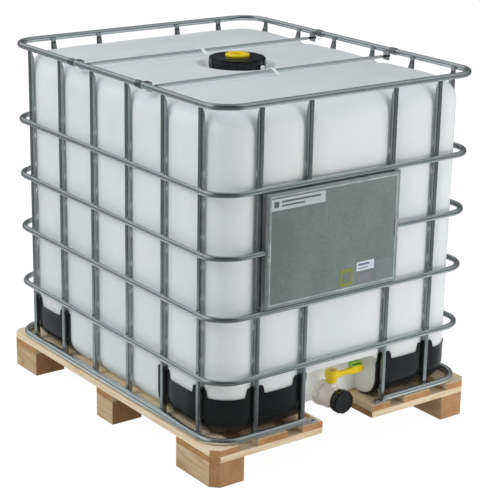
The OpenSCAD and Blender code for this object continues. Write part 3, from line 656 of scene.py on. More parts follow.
# ---------------------------------------------------------------- cage rings
def ring_path(step=14.0, arc=24):
    """Closed centre line of the rings, with the outward normals."""
    points, normals = [], []
    corners = [(1, 1, 0), (-1, 1, 90), (-1, -1, 180), (1, -1, 270)]

    def on_bend(corner, a):
        return (corner[0] * (RING_X - RING_BEND) + RING_BEND * math.cos(a),
                corner[1] * (RING_Y - RING_BEND) + RING_BEND * math.sin(a))

    for k, corner in enumerate(corners):
        for i in range(arc + 1):
            a = math.radians(corner[2] + 90 * i / arc)
            points.append(on_bend(corner, a))
            normals.append((math.cos(a), math.sin(a)))
        start = np.array(points[-1])
        end = np.array(on_bend(corners[(k + 1) % 4], a))
        pieces = max(1, int(np.linalg.norm(end - start) / step))
        for i in range(1, pieces):
            points.append(tuple(start + (end - start) * i / pieces))
            normals.append((math.cos(a), math.sin(a)))
    return np.array(points), np.array(normals)


def tube_loop(z, section, seed, segments=20, front_gap=None):
    """Tube along the ring. section(x, y) gives half width, half height and rise of its centre.

    front_gap is half the width of an opening in the front side.
    """
    points, normals = ring_path()
    if front_gap:
        gap = np.where((points[:, 1] < -RING_Y + 1) & (np.abs(points[:, 0]) < front_gap))[0]
        order = np.roll(np.arange(len(points)), -(gap[-1] + 1))[:len(points) - len(gap)]
        points, normals = points[order], normals[order]
    width, height, rise = np.array([section(*p) for p in points], float).T
    turn = np.linspace(0, 2 * math.pi, segments, endpoint=False)
    direction = np.empty((len(points), segments, 3))
    direction[:, :, :2] = normals[:, None] * np.cos(turn)[None, :, None]
    direction[:, :, 2] = np.sin(turn)
    centre = np.column_stack([points, z + rise])
    verts = centre[:, None] + direction * np.stack([width, width, height], 1)[:, None]
    verts, direction = verts.reshape(-1, 3), direction.reshape(-1, 3)
    verts += direction * (value_noise(verts / 45.0, seed) * 0.12)[:, None]
    if front_gap:
        return verts, tube_faces(len(points), segments)
    return verts, grid_faces(len(points), segments, True, True)


def bottom_section(x, y):
    """Thicker along the long sides, squashed at the two free ends beside the valve."""
    ax, ay = abs(x), abs(y)
    fat = smoothstep((430 - ay) / 90.0) if ax > 470 else 0.0
    flat = smoothstep((158 - ax) / 14.0) if y < -RING_Y + 2 else 0.0
    height = 10.0 + 2.0 * fat - 7.0 * flat
    in_x, in_y = ax - (RING_X - RING_BEND), ay - (RING_Y - RING_BEND)
    if in_x > 0 and in_y > 0:  # creases inside the cold bend
        a = math.atan2(in_y, in_x)
        height += 0.5 * math.sin(a * 34) * math.sin(2 * a) ** 2
    return 10.0 + 2.6 * fat + 3.0 * flat, height, 2.0 * fat - 7.0 * flat


def build_rings():
    for i, (node, z) in enumerate(RINGS.items()):
        tube = tube_loop(z, lambda x, y: (9.0, 9.0, 0.0), seed=i + 3)
        Shape().add(*tube).make(node + "_tube", LOOKS["tube"], "galvanised_tube", node, angle=180)
    tube = tube_loop(RAIL_Z, lambda x, y: (9.5, 9.5, 0.0), seed=9, segments=24)
    Shape().add(*tube).make("top_rail_tube", LOOKS["rail"], "galvanised_tube", "top_rail",
                            angle=180)
    tube = tube_loop(BOTTOM_RING_Z, bottom_section, seed=5, segments=24, front_gap=111)
    Shape().add(*tube).make("bottom_ring_tube", LOOKS["foot"], "galvanised_tube", "bottom_ring",
                            angle=50)


# ---------------------------------------------------------------- uprights
UPRIGHT_FOOT, UPRIGHT_TOP = 118.6, 1119.0
DENTS = [z + off for z in CROSSINGS for off in (-44.0, 44.0)]  # below and above each crossing
LOW_DENT = 172.0
# node: places as (x, y, turn about Z in degrees)
UPRIGHTS = {
    "uprights_left": [(-UPRIGHT_X, y, -90) for y in SIDE_Y],
    "uprights_right": [(UPRIGHT_X, y, 90) for y in SIDE_Y],
    "uprights_front": [(x, -UPRIGHT_Y, 0) for x in FRONT_X],
    "uprights_rear": [(x, UPRIGHT_Y, 180) for x in FRONT_X],
}


def upright_heights():
    """Section heights, close together at the dents and in the pressed top."""
    heights = [UPRIGHT_FOOT]
    while heights[-1] < UPRIGHT_TOP:
        z = heights[-1]
        near = min(abs(z - dent) for dent in DENTS + [LOW_DENT])
        heights.append(z + (3.2 if near < 26 else (5.0 if z > 1070 else 14.0)))
    heights[-1] = UPRIGHT_TOP
    return np.array(heights)


def upright_mesh(seed):
    """One upright: outer face at y = 0, body towards +y, x across."""
    half = 8.0
    heights = upright_heights()
    section = rounded_rect(half, half, 3.2, 4)
    side = np.sign(section[None, :, 0])
    verts = np.zeros((len(heights), len(section), 3))
    verts[:, :, 0] = section[None, :, 0]
    verts[:, :, 1] = section[None, :, 1] + half
    verts[:, :, 2] = heights[:, None]
    inner = np.clip((section[:, 1] + half) / (2 * half), 0, 1)[None, :]
    # dents press the inner wall outwards and pinch the side walls
    dents = [bell(heights, dent, 9.5) for dent in DENTS] + [0.9 * bell(heights, LOW_DENT, 9.0)]
    depth = np.max(dents, axis=0)[:, None]
    verts[:, :, 1] -= depth * (inner**1.5) * 5.2
    pinch = depth * np.sin(np.pi * inner) * 1.6
    verts[:, :, 0] -= side * pinch * (np.abs(section[None, :, 0]) > 4)
    # lips beside each dent
    lip = np.max([bell(heights, dent + off, 7.0) for dent in DENTS for off in (-17.0, 17.0)], axis=0)
    verts[:, :, 0] += side * lip[:, None] * 0.35 * (inner > 0.4)
    # the top is pressed thin to pass under the rail
    press = smoothstep((heights - 1078.0) / 30.0)[:, None]
    verts[:, :, 1] -= press * (inner**1.2) * 9.0
    verts[:, :, 0] *= 1 + 0.05 * press * (1 - press) * 4
    verts = verts.reshape(-1, 3)
    verts[:, :2] += 0.10 * value_noise(verts / 30.0, seed)[:, None]
    return verts, tube_faces(len(heights), len(section))


def unit_ball():
    """Low ball of four rings of eight points, with a point at each pole."""
    rings = [(math.cos(a) * math.cos(e), math.sin(a) * math.cos(e), math.sin(e))
             for e in np.radians([-60, -25, 25, 60]) for a in np.radians(np.arange(0, 360, 45))]
    faces = []
    for j in range(8):
        nxt = (j + 1) % 8
        faces.append((0, 1 + nxt, 1 + j))
        for r in range(3):
            a, b = 1 + r * 8 + j, 1 + r * 8 + nxt
            faces.append((a, b, b + 8, a + 8))
        faces.append((33, 25 + j, 25 + nxt))
    return np.concatenate([[[0, 0, -1]], rings, [[0, 0, 1]]]), faces


def build_uprights():
    seed = 20
    for node, places in UPRIGHTS.items():
        shape = Shape()
        for x, y, turn in places:
            seed += 1
            verts, faces = upright_mesh(seed)
            shape.add(turn_z(verts, turn) + np.array([x, y, 0]), faces)
        shape.make(node + "_tubes", LOOKS["upright"], "galvanised_tube", node, angle=60)


def build_weld_beads():
    """Four beads at each crossing of an upright and a ring."""
    ball, faces = unit_ball()
    shape = Shape()
    beads = [(place, z, sx, sz) for places in UPRIGHTS.values() for place in places
             for z in CROSSINGS for sx in (-1, 1) for sz in (-1, 1)]
    for k, ((x, y, turn), z, sx, sz) in enumerate(beads, 1):
        u, v = value_noise(np.array([[k * 1.7, 3.1, 8.8], [k * 2.3, 1.1, 4.8]]), 5)
        size = np.array([2.8 + 0.7 * u, 1.9, 3.2 + 0.5 * v])
        centre = np.array([sx * (6.6 + v * 0.7), -0.6, z + sz * (5.2 + 0.8 * u)])
        shape.add(turn_z(ball * size + centre, turn) + np.array([x, y, 0]), faces)
    shape.make("weld_beads", LOOKS["bead"], "galvanised_tube", angle=180)


# ---------------------------------------------------------------- cross bars
# Clip section over a bar: (y, z) from the bar's middle and the clip's base
CLIP_OUTLINE = [
    (-41, 0.05), (-31, 0.05), (-8, 10.8), (-5.5, 12.7), (5.5, 12.7), (8, 10.8), (31, 0.05),
    (41, 0.05), (41, 2.2), (32, 2.6), (10, 12.8), (6.5, 15.3), (-6.5, 15.3), (-10, 12.8),
    (-32, 2.6), (-41, 2.2)]


def build_bar_tubes():
    """Round bars, flattened towards both ends."""
    xs = np.concatenate([np.linspace(-430, -360, 22), np.linspace(-350, 350, 36),
                         np.linspace(360, 430, 22)])
    turn = np.linspace(0, 2 * math.pi, 20, endpoint=False)
    for node, y in (("cross_bar_front", -BAR_Y), ("cross_bar_rear", BAR_Y)):
        verts = []
        for x in xs:
            flat = smoothstep((abs(x) - 372) / 34.0)
            width, height = 6.1 + 2.2 * flat, 6.1 - 1.4 * flat
            verts += [(x, y + width * math.cos(a), BAR_Z + height * math.sin(a)) for a in turn]
        Shape().add(verts, tube_faces(len(xs), len(turn))).make(
            node + "_tube", LOOKS["bar"], "galvanised_tube", node, angle=50)


def build_bar_studs():
    """Threaded studs, 76 long, in both ends of each bar."""
    pitch = 1.5
    profile = [(0, 0), (3.2, 0), (3.9, 0.9)]
    along = 0.9
    while along < 74.5:
        profile += [(3.35, along + pitch / 2), (4.0, along + pitch)]
        along += pitch
    profile += [(3.3, 76), (0, 76)]
    verts, faces = lathe(profile, 20)
    x, y, z = verts.T
    shape = Shape()
    for sx in (-1, 1):
        for bar_y in (-BAR_Y, BAR_Y):
            shape.add(np.stack([sx * (392 + z), bar_y + x, BAR_Z + y * sx], 1),
                      [face[::-1] for face in faces])
    shape.make("bar_studs_threaded", LOOKS["dark"], "dark_steel", "bar_studs", angle=60)


def build_bar_clips():
    outline = [(a, b, 0.9 if abs(a) > 35 else 2.0) for a, b in CLIP_OUTLINE]
    verts, faces = extrude(fillet(outline, 2.0, 4, True), -11.6, -0.4, axis=0)
    shape = Shape()
    for y in (-BAR_Y, BAR_Y):
        shape.add(verts + np.array([0, y, 1100]), faces)
    ob = shape.make("bar_clips_moulded", LOOKS["clip"], "natural_plastic", "bar_clips", angle=40)
    bevel(ob, 0.9, 3, 50)


# ---------------------------------------------------------------- bottle
# Fill neck with its thread: (radius, height, rounding)
FILL_NECK = [
    (68.0, 1070), (68.0, 1112.0), (72.5, 1112.0, 1.2), (72.5, 1108, 0), (73.4, 1106.5, 0),
    (73.4, 1104, 0), (72.3, 1102.5, 0), (72.3, 1100, 0), (73.4, 1098.5, 0), (73.4, 1096, 0),
    (72.3, 1094.5, 0), (72.3, 1091, 0), (73.4, 1089.5, 0), (73.4, 1087, 0), (72.5, 1085.5, 0),
    (73.2, 1080, 2), (79, 1076.5, 3), (79, 1070)]
# Outlet neck: (radius, distance towards -Y, rounding)
OUTLET_NECK = [
    (25.4, 455), (25.4, 486), (28.4, 486, 0.8), (28.4, 472, 0), (28.4, 468.5, 2.5),
    (40, 464.0, 3), (40, 455)]


def smooth_max(a, b, k):
    h = np.maximum(k - np.abs(a - b), 0) / k
    return np.maximum(a, b) + h * h * k * 0.25


def smooth_min(a, b, k):
    h = np.maximum(k - np.abs(a - b), 0) / k
    return np.minimum(a, b) - h * h * k * 0.25


def round_corner(a, b, radius):
    """Distance to a rounded corner; a and b are measured from the centre of its arc."""
    return np.hypot(np.maximum(a, 0), np.maximum(b, 0)) + np.minimum(np.maximum(a, b), 0) - radius


def round_rect(x, y, half_x, half_y, radius):
    return round_corner(np.abs(x) - (half_x - radius), np.abs(y) - (half_y - radius), radius)


def quarter(t):
    t = np.clip(t, 0, 1)
    return 1 - np.sqrt(np.maximum(1 - t * t, 0))


def nearest(values, centres):
    return np.min([np.abs(values - c) for c in centres], 0)


def falloff(distance, start, width):
    return np.exp(-((np.maximum(distance - start, 0) / width) ** 1.2))


def groove(depth, half, slope, across, steep, blend):
    """Field of a groove: depth above its floor, half width growing by slope with depth."""
    return smooth_min(depth, (half + slope * np.maximum(depth, 0) - across) * steep, blend)


def bottle_field(points):
    """Signed distance-like field of the bottle's outer skin, millimetres, negative inside."""
    x, y, z = points[:, 0], points[:, 1], points[:, 2]
    ax, ay = np.abs(x), np.abs(y)
    # walls held back near the uprights, with a slow waviness
    crown = 5.5 * falloff(nearest(y, SIDE_Y), 22, 24) + 5.5 * falloff(nearest(x, FRONT_X), 22, 24)
    crown = crown + 1.6 * value_noise(np.stack([x / 170, y / 170, z / 260], 1), 3)
    wall = round_rect(x, y, 470, 570, 110) + np.maximum(crown, 0)
    # each of the three zones of the top is crowned
    sag = (3.0 * falloff(np.abs(ay - BAR_Y), 30, 40) + 4.0 * np.clip((ax - 250) / 200, 0, 1) ** 2
           + 4.0 * np.clip((ay - 350) / 200, 0, 1) ** 2)
    top, bottom, top_edge, bottom_edge = 1100.0, 118.2, 60.0, 70.0
    field = np.maximum(
        round_corner(wall + top_edge, z - (top - sag - top_edge), top_edge),
        round_corner(wall + bottom_edge, (bottom + bottom_edge) - z, bottom_edge))
    # a groove behind each upright, flared towards the top
    flare = 46 * quarter((z - 1012) / 66)
    for out, floor, limit, along, centres in (
            (ax, 457.4, 400, y, SIDE_Y), (ay, 557.4, 500, x, FRONT_X)):
        for c in centres:
            cut = groove(out - floor, 9.6 + flare, 0.42, np.abs(along - c), 0.9, 5)
            field = smooth_max(field, np.where(out > limit, cut, -50), 8)
    # grooves under the cross bars, flared at their ends, and a round dish in the middle
    depth = z - 1084.5
    end_flare = 34 * quarter((ax - 388) / 62)
    cut = groove(depth, 14 + end_flare, 0.95, np.abs(ay - BAR_Y), 0.75, 8)
    field = smooth_max(field, np.where(z > 1000, cut, -50), 11)
    cut = groove(depth + 6.0, 112, 0.5, np.hypot(x, y), 0.9, 8)
    field = smooth_max(field, np.where(z > 1000, cut, -50), 8)
    # valve pocket
    pocket = np.minimum(-round_rect(x, z - 164, 137, 104, 30), -465.6 - y)
    return smooth_max(field, np.where(z < 330, pocket, -80), 14)


def grid_lines(start, end, spots, base):
    """Grid positions at a base spacing; spots (centre, half width, spacing) are closer."""
    fine = np.arange(start, end + 0.25, 0.5)
    spacing = np.full(len(fine), float(base))
    for centre, half, step in spots:
        spacing = np.where(np.abs(fine - centre) < half, np.minimum(spacing, step), spacing)
    total = np.concatenate([[0], np.cumsum(0.5 * (1 / spacing[1:] + 1 / spacing[:-1]) * 0.5)])
    count = int(math.ceil(total[-1]))
    return np.interp(np.linspace(0, total[-1], count + 1), total, fine)


def project(points):
    """Moves points of the outer box onto the bottle's skin, along rays from the inner block."""
    points = np.asarray(points, float)
    inner = np.stack([np.clip(points[:, 0], -INNER_X, INNER_X),
                      np.clip(points[:, 1], -INNER_Y, INNER_Y),
                      np.clip(points[:, 2], INNER_BOTTOM, INNER_TOP)], 1)
    ray = points - inner
    found = np.zeros(len(points), bool)
    near, far = np.zeros(len(points)), np.ones(len(points))
    for s in np.linspace(1.0, 0.0, 70)[1:]:
        new = (~found) & (bottle_field(inner + ray * s) < 0)
        near[new] = s
        far[new] = s + 1 / 69.0
        found |= new
    for _ in range(11):
        middle = 0.5 * (near + far)
        inside = bottle_field(inner + ray * middle[:, None]) < 0
        near = np.where(inside, middle, near)
        far = np.where(inside, far, middle)
    return inner + ray * (0.5 * (near + far))[:, None]


def box_surface(xs, ys, zs):
    """Points and faces on the surface of a box ruled by three sets of grid lines."""
    index, points, faces = {}, [], []

    def quad(*keys):
        for key in keys:
            if key not in index:
                index[key] = len(points)
                points.append((xs[key[0]], ys[key[1]], zs[key[2]]))
        faces.append(tuple(index[key] for key in keys))

    nx, ny, nz = len(xs) - 1, len(ys) - 1, len(zs) - 1
    for i in range(nx):
        for j in range(ny):
            quad((i, j, nz), (i + 1, j, nz), (i + 1, j + 1, nz), (i, j + 1, nz))
            quad((i, j, 0), (i, j + 1, 0), (i + 1, j + 1, 0), (i + 1, j, 0))
    for i in range(nx):
        for k in range(nz):
            quad((i, 0, k), (i + 1, 0, k), (i + 1, 0, k + 1), (i, 0, k + 1))
            quad((i, ny, k), (i, ny, k + 1), (i + 1, ny, k + 1), (i + 1, ny, k))
    for j in range(ny):
        for k in range(nz):
            quad((0, j, k), (0, j, k + 1), (0, j + 1, k + 1), (0, j + 1, k))
            quad((nx, j, k), (nx, j + 1, k), (nx, j + 1, k + 1), (nx, j, k + 1))
    return np.array(points), faces


def build_bottle_shell():
    k = 1.0  # coarser when quick
    xs = grid_lines(-BOX_X, BOX_X, [(c, 46, 4.6 * k) for c in FRONT_X] + [
        (-137, 9, 2.0 * k), (137, 9, 2.0 * k), (-430, 60, 8 * k), (430, 60, 8 * k),
        (0, 125, 9 * k)], 16 * k)
    ys = grid_lines(-BOX_Y, BOX_Y, [(c, 46, 4.6 * k) for c in SIDE_Y] + [
        (-BAR_Y, 44, 4.4 * k), (BAR_Y, 44, 4.4 * k), (-530, 60, 8 * k), (530, 60, 8 * k),
        (0, 125, 9 * k)], 16 * k)
    zs = grid_lines(BOX_BOTTOM, BOX_TOP, [
        (150, 50, 8 * k), (268, 9, 2.0 * k), (1055, 60, 5.0 * k)], 24 * k)
    points, faces = box_surface(xs, ys, zs)
    ob = Shape().add(project(points), faces).make(
        "bottle_shell", LOOKS["hdpe"], "bottle_hdpe", "bottle")
    triangles = 2 * len(faces)
    if triangles > 180000:
        thin = ob.modifiers.new("thin", "DECIMATE")
        thin.ratio = 178000 / triangles
        apply_smooth(ob)


def build_bottle_fittings():
    Shape().add(*turned(FILL_NECK, 96, 1.0, closed=False)).make(
        "bottle_fill_neck", LOOKS["hdpe"], "bottle_hdpe", "bottle", angle=50)
    # locking lugs beside the cap, moulded in the bottle's plastic but shown in the whiter clip
    # plastic as a painted highlight
    verts, faces = prism(fillet(rectangle(95.2, 102.6, -7, 7), 2.0, 3, True), 1075, 1102.5)
    shape = Shape()
    for turn in (-73, 107):
        shape.add(turn_z(verts, turn), faces)
    ob = shape.make("bottle_cap_lugs", LOOKS["clip"], "bottle_hdpe", "bottle", angle=40)
    bevel(ob, 1.6, 3, 50)
    verts, faces = turned(OUTLET_NECK, 72, 0.8, closed=False)
    Shape().add(to_valve(verts), faces).make(
        "bottle_outlet_neck", LOOKS["hdpe"], "bottle_hdpe", "bottle", angle=50)


# ---------------------------------------------------------------- corner guards
def guard_outline(sx, sy):
    """Path on the outer box round one corner, from the long side to the short side."""
    reach = BOX_X - INNER_X
    points = [(BOX_X, y) for y in np.arange(262, 470.1, 3.4)]
    for degrees in np.linspace(8, 82, 34):
        c, s = math.cos(math.radians(degrees)), math.sin(math.radians(degrees))
        t = min(reach / c, reach / s)
        points.append((INNER_X + t * c, INNER_Y + t * s))
    points += [(x, BOX_Y) for x in np.arange(370, 139.4, -3.4)]
    points[-1] = (139.5, BOX_Y)
    return np.array(points) * np.array([sx, sy])


def guard_top(path):
    """Height of the guard's upper edge: level, with arched ears beside the uprights."""
    ax, ay = np.abs(path).T
    distance = np.minimum(np.where(ax > 470, nearest(ay, SIDE_Y), 1e9),
                          np.where(ay > 570, nearest(ax, FRONT_X), 1e9))
    ear = np.clip((34.0 - distance) / 9.0, 0, 1)
    return 246.0 + 27.0 * np.sqrt(1 - (1 - ear) ** 2)


def build_guard(node, sx, sy):
    path = guard_outline(sx, sy)
    under, rows = 12, 38  # rows under the bottle's rounded edge, and in all
    box = []
    for (x, y), top in zip(path, guard_top(path)):
        inner_x = float(np.clip(x, -INNER_X, INNER_X))
        inner_y = float(np.clip(y, -INNER_Y, INNER_Y))
        for j in range(rows):
            if j < under:
                k = 0.62 * (1 - j / under)
                box.append((x + (inner_x - x) * k, y + (inner_y - y) * k, BOX_BOTTOM))
            else:
                t = (j - under) / (rows - 1 - under)
                box.append((x, y, BOX_BOTTOM + (top - BOX_BOTTOM) * t))
    skin = project(box)
    # outward normals from the field's slope
    normal = np.stack([bottle_field(skin + off) - bottle_field(skin - off)
                       for off in np.eye(3) * 0.5], 1)
    normal /= np.linalg.norm(normal, axis=1)[:, None] + 1e-9
    # outer and inner faces; the outer one swells into a lip along the upper edge
    lip = np.tile(bell(np.arange(rows) / (rows - 1), 1.0, 0.03), len(path))[:, None]
    outer = skin + normal * 3.1 + normal * lip * 0.9
    inner = skin + normal * 0.7
    outer[:, 2] = np.maximum(outer[:, 2], 118.4)
    inner[:, 2] = np.maximum(inner[:, 2], 118.3)
    off = len(skin)
    faces = []
    for a, b, c, d in grid_faces(len(path), rows):
        faces += [(a, b, c, d), (off + a, off + d, off + c, off + b)]
    faces += rim_faces(len(path), rows)
    if sx * sy < 0:
        faces = [face[::-1] for face in faces]
    Shape().add(np.concatenate([outer, inner]), faces).make(
        node + "_shell", LOOKS["black"], "black_plastic", node, angle=48)


def build_guards():
    for end, sy in (("f", -1), ("r", 1)):
        for side, sx in (("l", -1), ("r", 1)):
            build_guard("corner_guard_" + end + side, sx, sy)


# ---------------------------------------------------------------- pallet
# Boards as (x0, x1, y0, y1)
DECK_BOARDS = [(x0, x1, -600, 600) for x0, x1 in (
    (-500, -410), (-338, -232), (-172, -98), (98, 172), (232, 338), (410, 500))]
DECK_BOARDS.append((-70, 70, -415, 600))
BEARERS = [(-500, -98, -600, -405), (98, 500, -600, -405), (-500, 500, -48, 48),
           (-500, 500, 440, 600)]
BLOCKS = [(-500, -390, -600, -405), (390, 500, -600, -405), (-500, -390, -48, 48),
          (390, 500, -48, 48), (-500, -390, 440, 600), (390, 500, 440, 600),
          (-50, 50, -48, 48), (-50, 50, 440, 600)]


def clip_chamfer(outline):
    """Cuts an outline by the pallet's chamfered corners."""
    points = [np.array(p, float) for p in outline]
    limit = PALLET_X + PALLET_Y - PALLET_CHAMFER
    for sx in (-1, 1):
        for sy in (-1, 1):
            normal = np.array([sx, sy], float)
            kept = []
            for i, a in enumerate(points):
                b = points[(i + 1) % len(points)]
                da, db = a @ normal - limit, b @ normal - limit
                if da <= 0:
                    kept.append(a)
                if (da < 0 < db) or (db < 0 < da):
                    kept.append(a + (b - a) * da / (da - db))
            points = kept
    return points


def build_pallet():
    rng = np.random.RandomState(7)
    gap = 0.15  # under the deck boards and the bearers
    # node, material, slot, boards, bottom, top, bevel
    layers = [
        ("deck_boards", "deck_wood", "board_wood", DECK_BOARDS, BEARER_TOP + gap, DECK_TOP, 1.6),
        ("bearers", "bearer_wood", "board_wood", BEARERS, BLOCK_TOP + gap, BEARER_TOP, 1.4),
        ("pallet_blocks", "block_wood", "block_wood", BLOCKS, 0, BLOCK_TOP, 2.0),
    ]
    for node, look, slot, boards, z0, z1, edge in layers:
        shape = Shape()
        for board in boards:
            verts, faces = prism(clip_chamfer(rectangle(*board)), z0, z1)
            shape.add(verts, faces, smooth=False, seed=tuple(rng.rand(3)))
        bevel(shape.make(node + "_sawn", LOOKS[look], slot, node), edge)


# ---------------------------------------------------------------- marking plate
# Grid insets from the plate's edge, close together over the rim and its step
RIM_INSETS = np.array([0, 0.6, 1.4, 2.6, 4, 6, 8, 9.5, 11, 12.5, 14, 15.5, 17.5, 20])
# Films: name, (x0, x1, z0, z1), base colour, bars (x0, x1, z0, z1), colour of the bars
FILMS = [
    ("film_long", (-310, -116, 808, 842), (0.50, 0.55, 0.56),
     [(-274, -134, 829, 834.5), (-274, -190, 817.5, 822.5), (-301, -284, 817, 834)],
     (0.10, 0.11, 0.12)),
    ("film_square", (-50, -2, 534, 588), (0.25, 0.27, 0.05), [(-43, -9, 543, 576)],
     (0.17, 0.20, 0.17)),
    ("film_small", (12, 80, 572, 600), (0.62, 0.69, 0.74),
     [(18, 62, 588, 594), (18, 56, 578, 581)], (0.16, 0.18, 0.26)),
    ("film_grey", (18, 70, 534, 564), (0.22, 0.23, 0.25), [], None),
    ("film_wide", (84, 150, 530, 596), (0.20, 0.24, 0.24),
     [(88, 112, 560, 582), (118, 146, 534, 542), (118, 146, 548, 554)], (0.19, 0.22, 0.23)),
]


def plate_lines(start, end, count):
    return np.concatenate([start + RIM_INSETS, np.linspace(start + 26, end - 26, count),
                           (end - RIM_INSETS)[::-1]])


def build_plate_sheet():
    x, z = np.meshgrid(plate_lines(PLATE_LEFT, PLATE_RIGHT, 74),
                       plate_lines(PLATE_BOTTOM, PLATE_TOP, 52), indexing="ij")
    edge = np.minimum(np.minimum(x - PLATE_LEFT, PLATE_RIGHT - x),
                      np.minimum(z - PLATE_BOTTOM, PLATE_TOP - z))
    # rolled rim, then a step down to the recessed field
    rim = np.where(edge < 5, np.sqrt(np.maximum(0, 25 - (5 - edge) ** 2)) - 5, 0.0)
    step = 2.2 * (1 - smoothstep((edge - 9) / 6.0))
    y = PLATE_FRONT - (step + rim * 0.9)
    noise = value_noise(np.stack([x.ravel() / 120, z.ravel() / 120, np.zeros(x.size)], 1), 4)
    y = y + 0.45 * noise.reshape(x.shape) * smoothstep((edge - 12) / 40.0)
    # the field stays just behind the labels
    y = np.where(edge > 16, np.maximum(y, PLATE_FRONT + 0.02), y)
    front = np.stack([x, y, z], -1).reshape(-1, 3)
    back = front.copy()
    back[:, 1] = np.minimum(back[:, 1] + 1.25, PLATE_FRONT + 8)
    faces = grid_faces(*x.shape)
    faces += [tuple(x.size + i for i in face[::-1]) for face in faces]
    shape = Shape().add(np.concatenate([front, back]), faces + rim_faces(*x.shape))
    # returns folded back towards the cage, open at the ring behind the plate
    y0 = PLATE_FRONT + 2.0
    for z0 in (PLATE_TOP - 1.9, PLATE_BOTTOM + 0.6):
        outline = rectangle(PLATE_LEFT + 1.0, PLATE_RIGHT - 1.0, y0, PLATE_FRONT + 12)
        shape.add(*prism(outline, z0, z0 + 1.3))
    for z0, z1 in ((PLATE_BOTTOM + 2, PLATE_RING_Z - 10.2), (PLATE_RING_Z + 10.2, PLATE_TOP - 2)):
        for x0 in (PLATE_LEFT + 0.6, PLATE_RIGHT - 1.9):
            shape.add(*prism(rectangle(x0, x0 + 1.3, y0, PLATE_FRONT + 8), z0, z1))
    shape.make("marking_plate_pressed", LOOKS["sheet"], "galvanised_sheet", "marking_plate",
               angle=45)


def build_plate_rivets():
    """Two round heads and the tab between them, at each side of the plate."""
    profile = [(0, 0), (5.4, 0), (5.4, 1.2, 0.5), (3.4, 2.6, 1.2), (0, 3.0)]
    verts, faces = turned(profile, 24, 0.6, closed=False)
    across, up, out = verts.T
    shape = Shape()
    for x in (PLATE_LEFT + 9, PLATE_RIGHT - 9):
        for z in (PLATE_RING_Z + 20, PLATE_RING_Z - 20):
            shape.add(np.stack([x + across, PLATE_FRONT - 0.6 - out, z + up], 1), faces)
        outline = rectangle(x - 4.5, x + 4.5, PLATE_FRONT - 2.2, PLATE_FRONT - 1.2)
        shape.add(*prism(outline, PLATE_RING_Z - 31, PLATE_RING_Z + 31), smooth=False)
    shape.make("plate_rivets_heads", LOOKS["bead"], "zinc_steel", "plate_rivets", angle=45)


def build_plate_films():
    for name, area, base, bars, ink in FILMS:
        outline = fillet(rectangle(*area), 1.5, 4, True)
        film = extrude(outline, PLATE_FRONT - 0.4, PLATE_FRONT)
        Shape().add(*film, smooth=False).make(
            "plate_" + name, label("label_" + name, base, bars, ink), "label_film",
            "plate_stickers")


# ---------------------------------------------------------------- fill cap and vent plug
# (radius, height, rounding)
CAP_PROFILE = [
    (29.2, CAP_TOP - 30), (29.2, CAP_TOP - 1.6, 0.6), (36.0, CAP_TOP - 1.55, 0),
    (36.0, CAP_TOP - 0.2, 0.6), (41, CAP_TOP, 0.8), (60, CAP_TOP - 0.2, 4),
    (64, CAP_TOP - 2.2, 3), (78, CAP_TOP - 2.6, 3), (86, CAP_TOP - 1.6, 3),
    (89.9, CAP_TOP - 5.5, 4), (89.9, CAP_BOTTOM + 7, 3), (89.0, CAP_BOTTOM + 2.0, 2),
    (86.5, CAP_BOTTOM, 1.2), (83.5, CAP_BOTTOM, 0.5), (76.5, CAP_BOTTOM + 3, 1),
    (74.2, CAP_BOTTOM + 4, 0.5), (74.2, CAP_TOP - 6.2, 2), (36, CAP_TOP - 6.2, 2),
    (35, CAP_TOP - 30, 1)]
PLUG_PROFILE = [
    (0, CAP_TOP - 5.5), (19, CAP_TOP - 5.5, 1.0), (19.6, CAP_TOP + 7.6, 1.4),
    (23, CAP_TOP + 8.9, 1.2), (34, CAP_TOP + 8.9, 2.0), (38.9, CAP_TOP + 6.8, 2.0),
    (38.9, CAP_TOP + 1.2, 0.9), (37.4, CAP_TOP + 0.08, 0.4), (29, CAP_TOP + 0.08, 0.3),
    (28.8, CAP_TOP - 21, 1.5), (24, CAP_TOP - 22, 1), (24, CAP_TOP - 9, 1.5), (0, CAP_TOP - 9)]


def cap_ribs(angle, radius):
    """Twelve broad ribs round the skirt."""
    cut = 4.4 if radius > 86.5 else max(0.0, radius - 84.0)
    return radius - (1 - rib(angle, pitch=30, half=10.2, fade=2.6, start=15)) * cut


def plug_shape(angle, radius):
    """Octagonal socket inside, finger grips outside."""
    if 15 < radius < 22:
        turn = (angle + math.pi / 8) % (math.pi / 4) - math.pi / 8
        return radius * math.cos(math.pi / 8) / math.cos(turn)
    if radius > 37.5:
        return radius - 0.7 * (0.5 + 0.5 * math.cos(angle * 24))
    return radius


def build_caps():
    Shape().add(*turned(CAP_PROFILE, 288, 1.0, reshape=cap_ribs)).make(
        "fill_cap_ribbed", LOOKS["capblack"], "black_plastic", "fill_cap", "fill_cap_turn", 40)
    plug = turned(PLUG_PROFILE, 192, 1.0, steps=4, closed=False, reshape=plug_shape)
    Shape().add(*plug).make(
        "vent_plug_moulded", LOOKS["yellow"], "yellow_plastic", "vent_plug", "vent_plug_turn", 40)


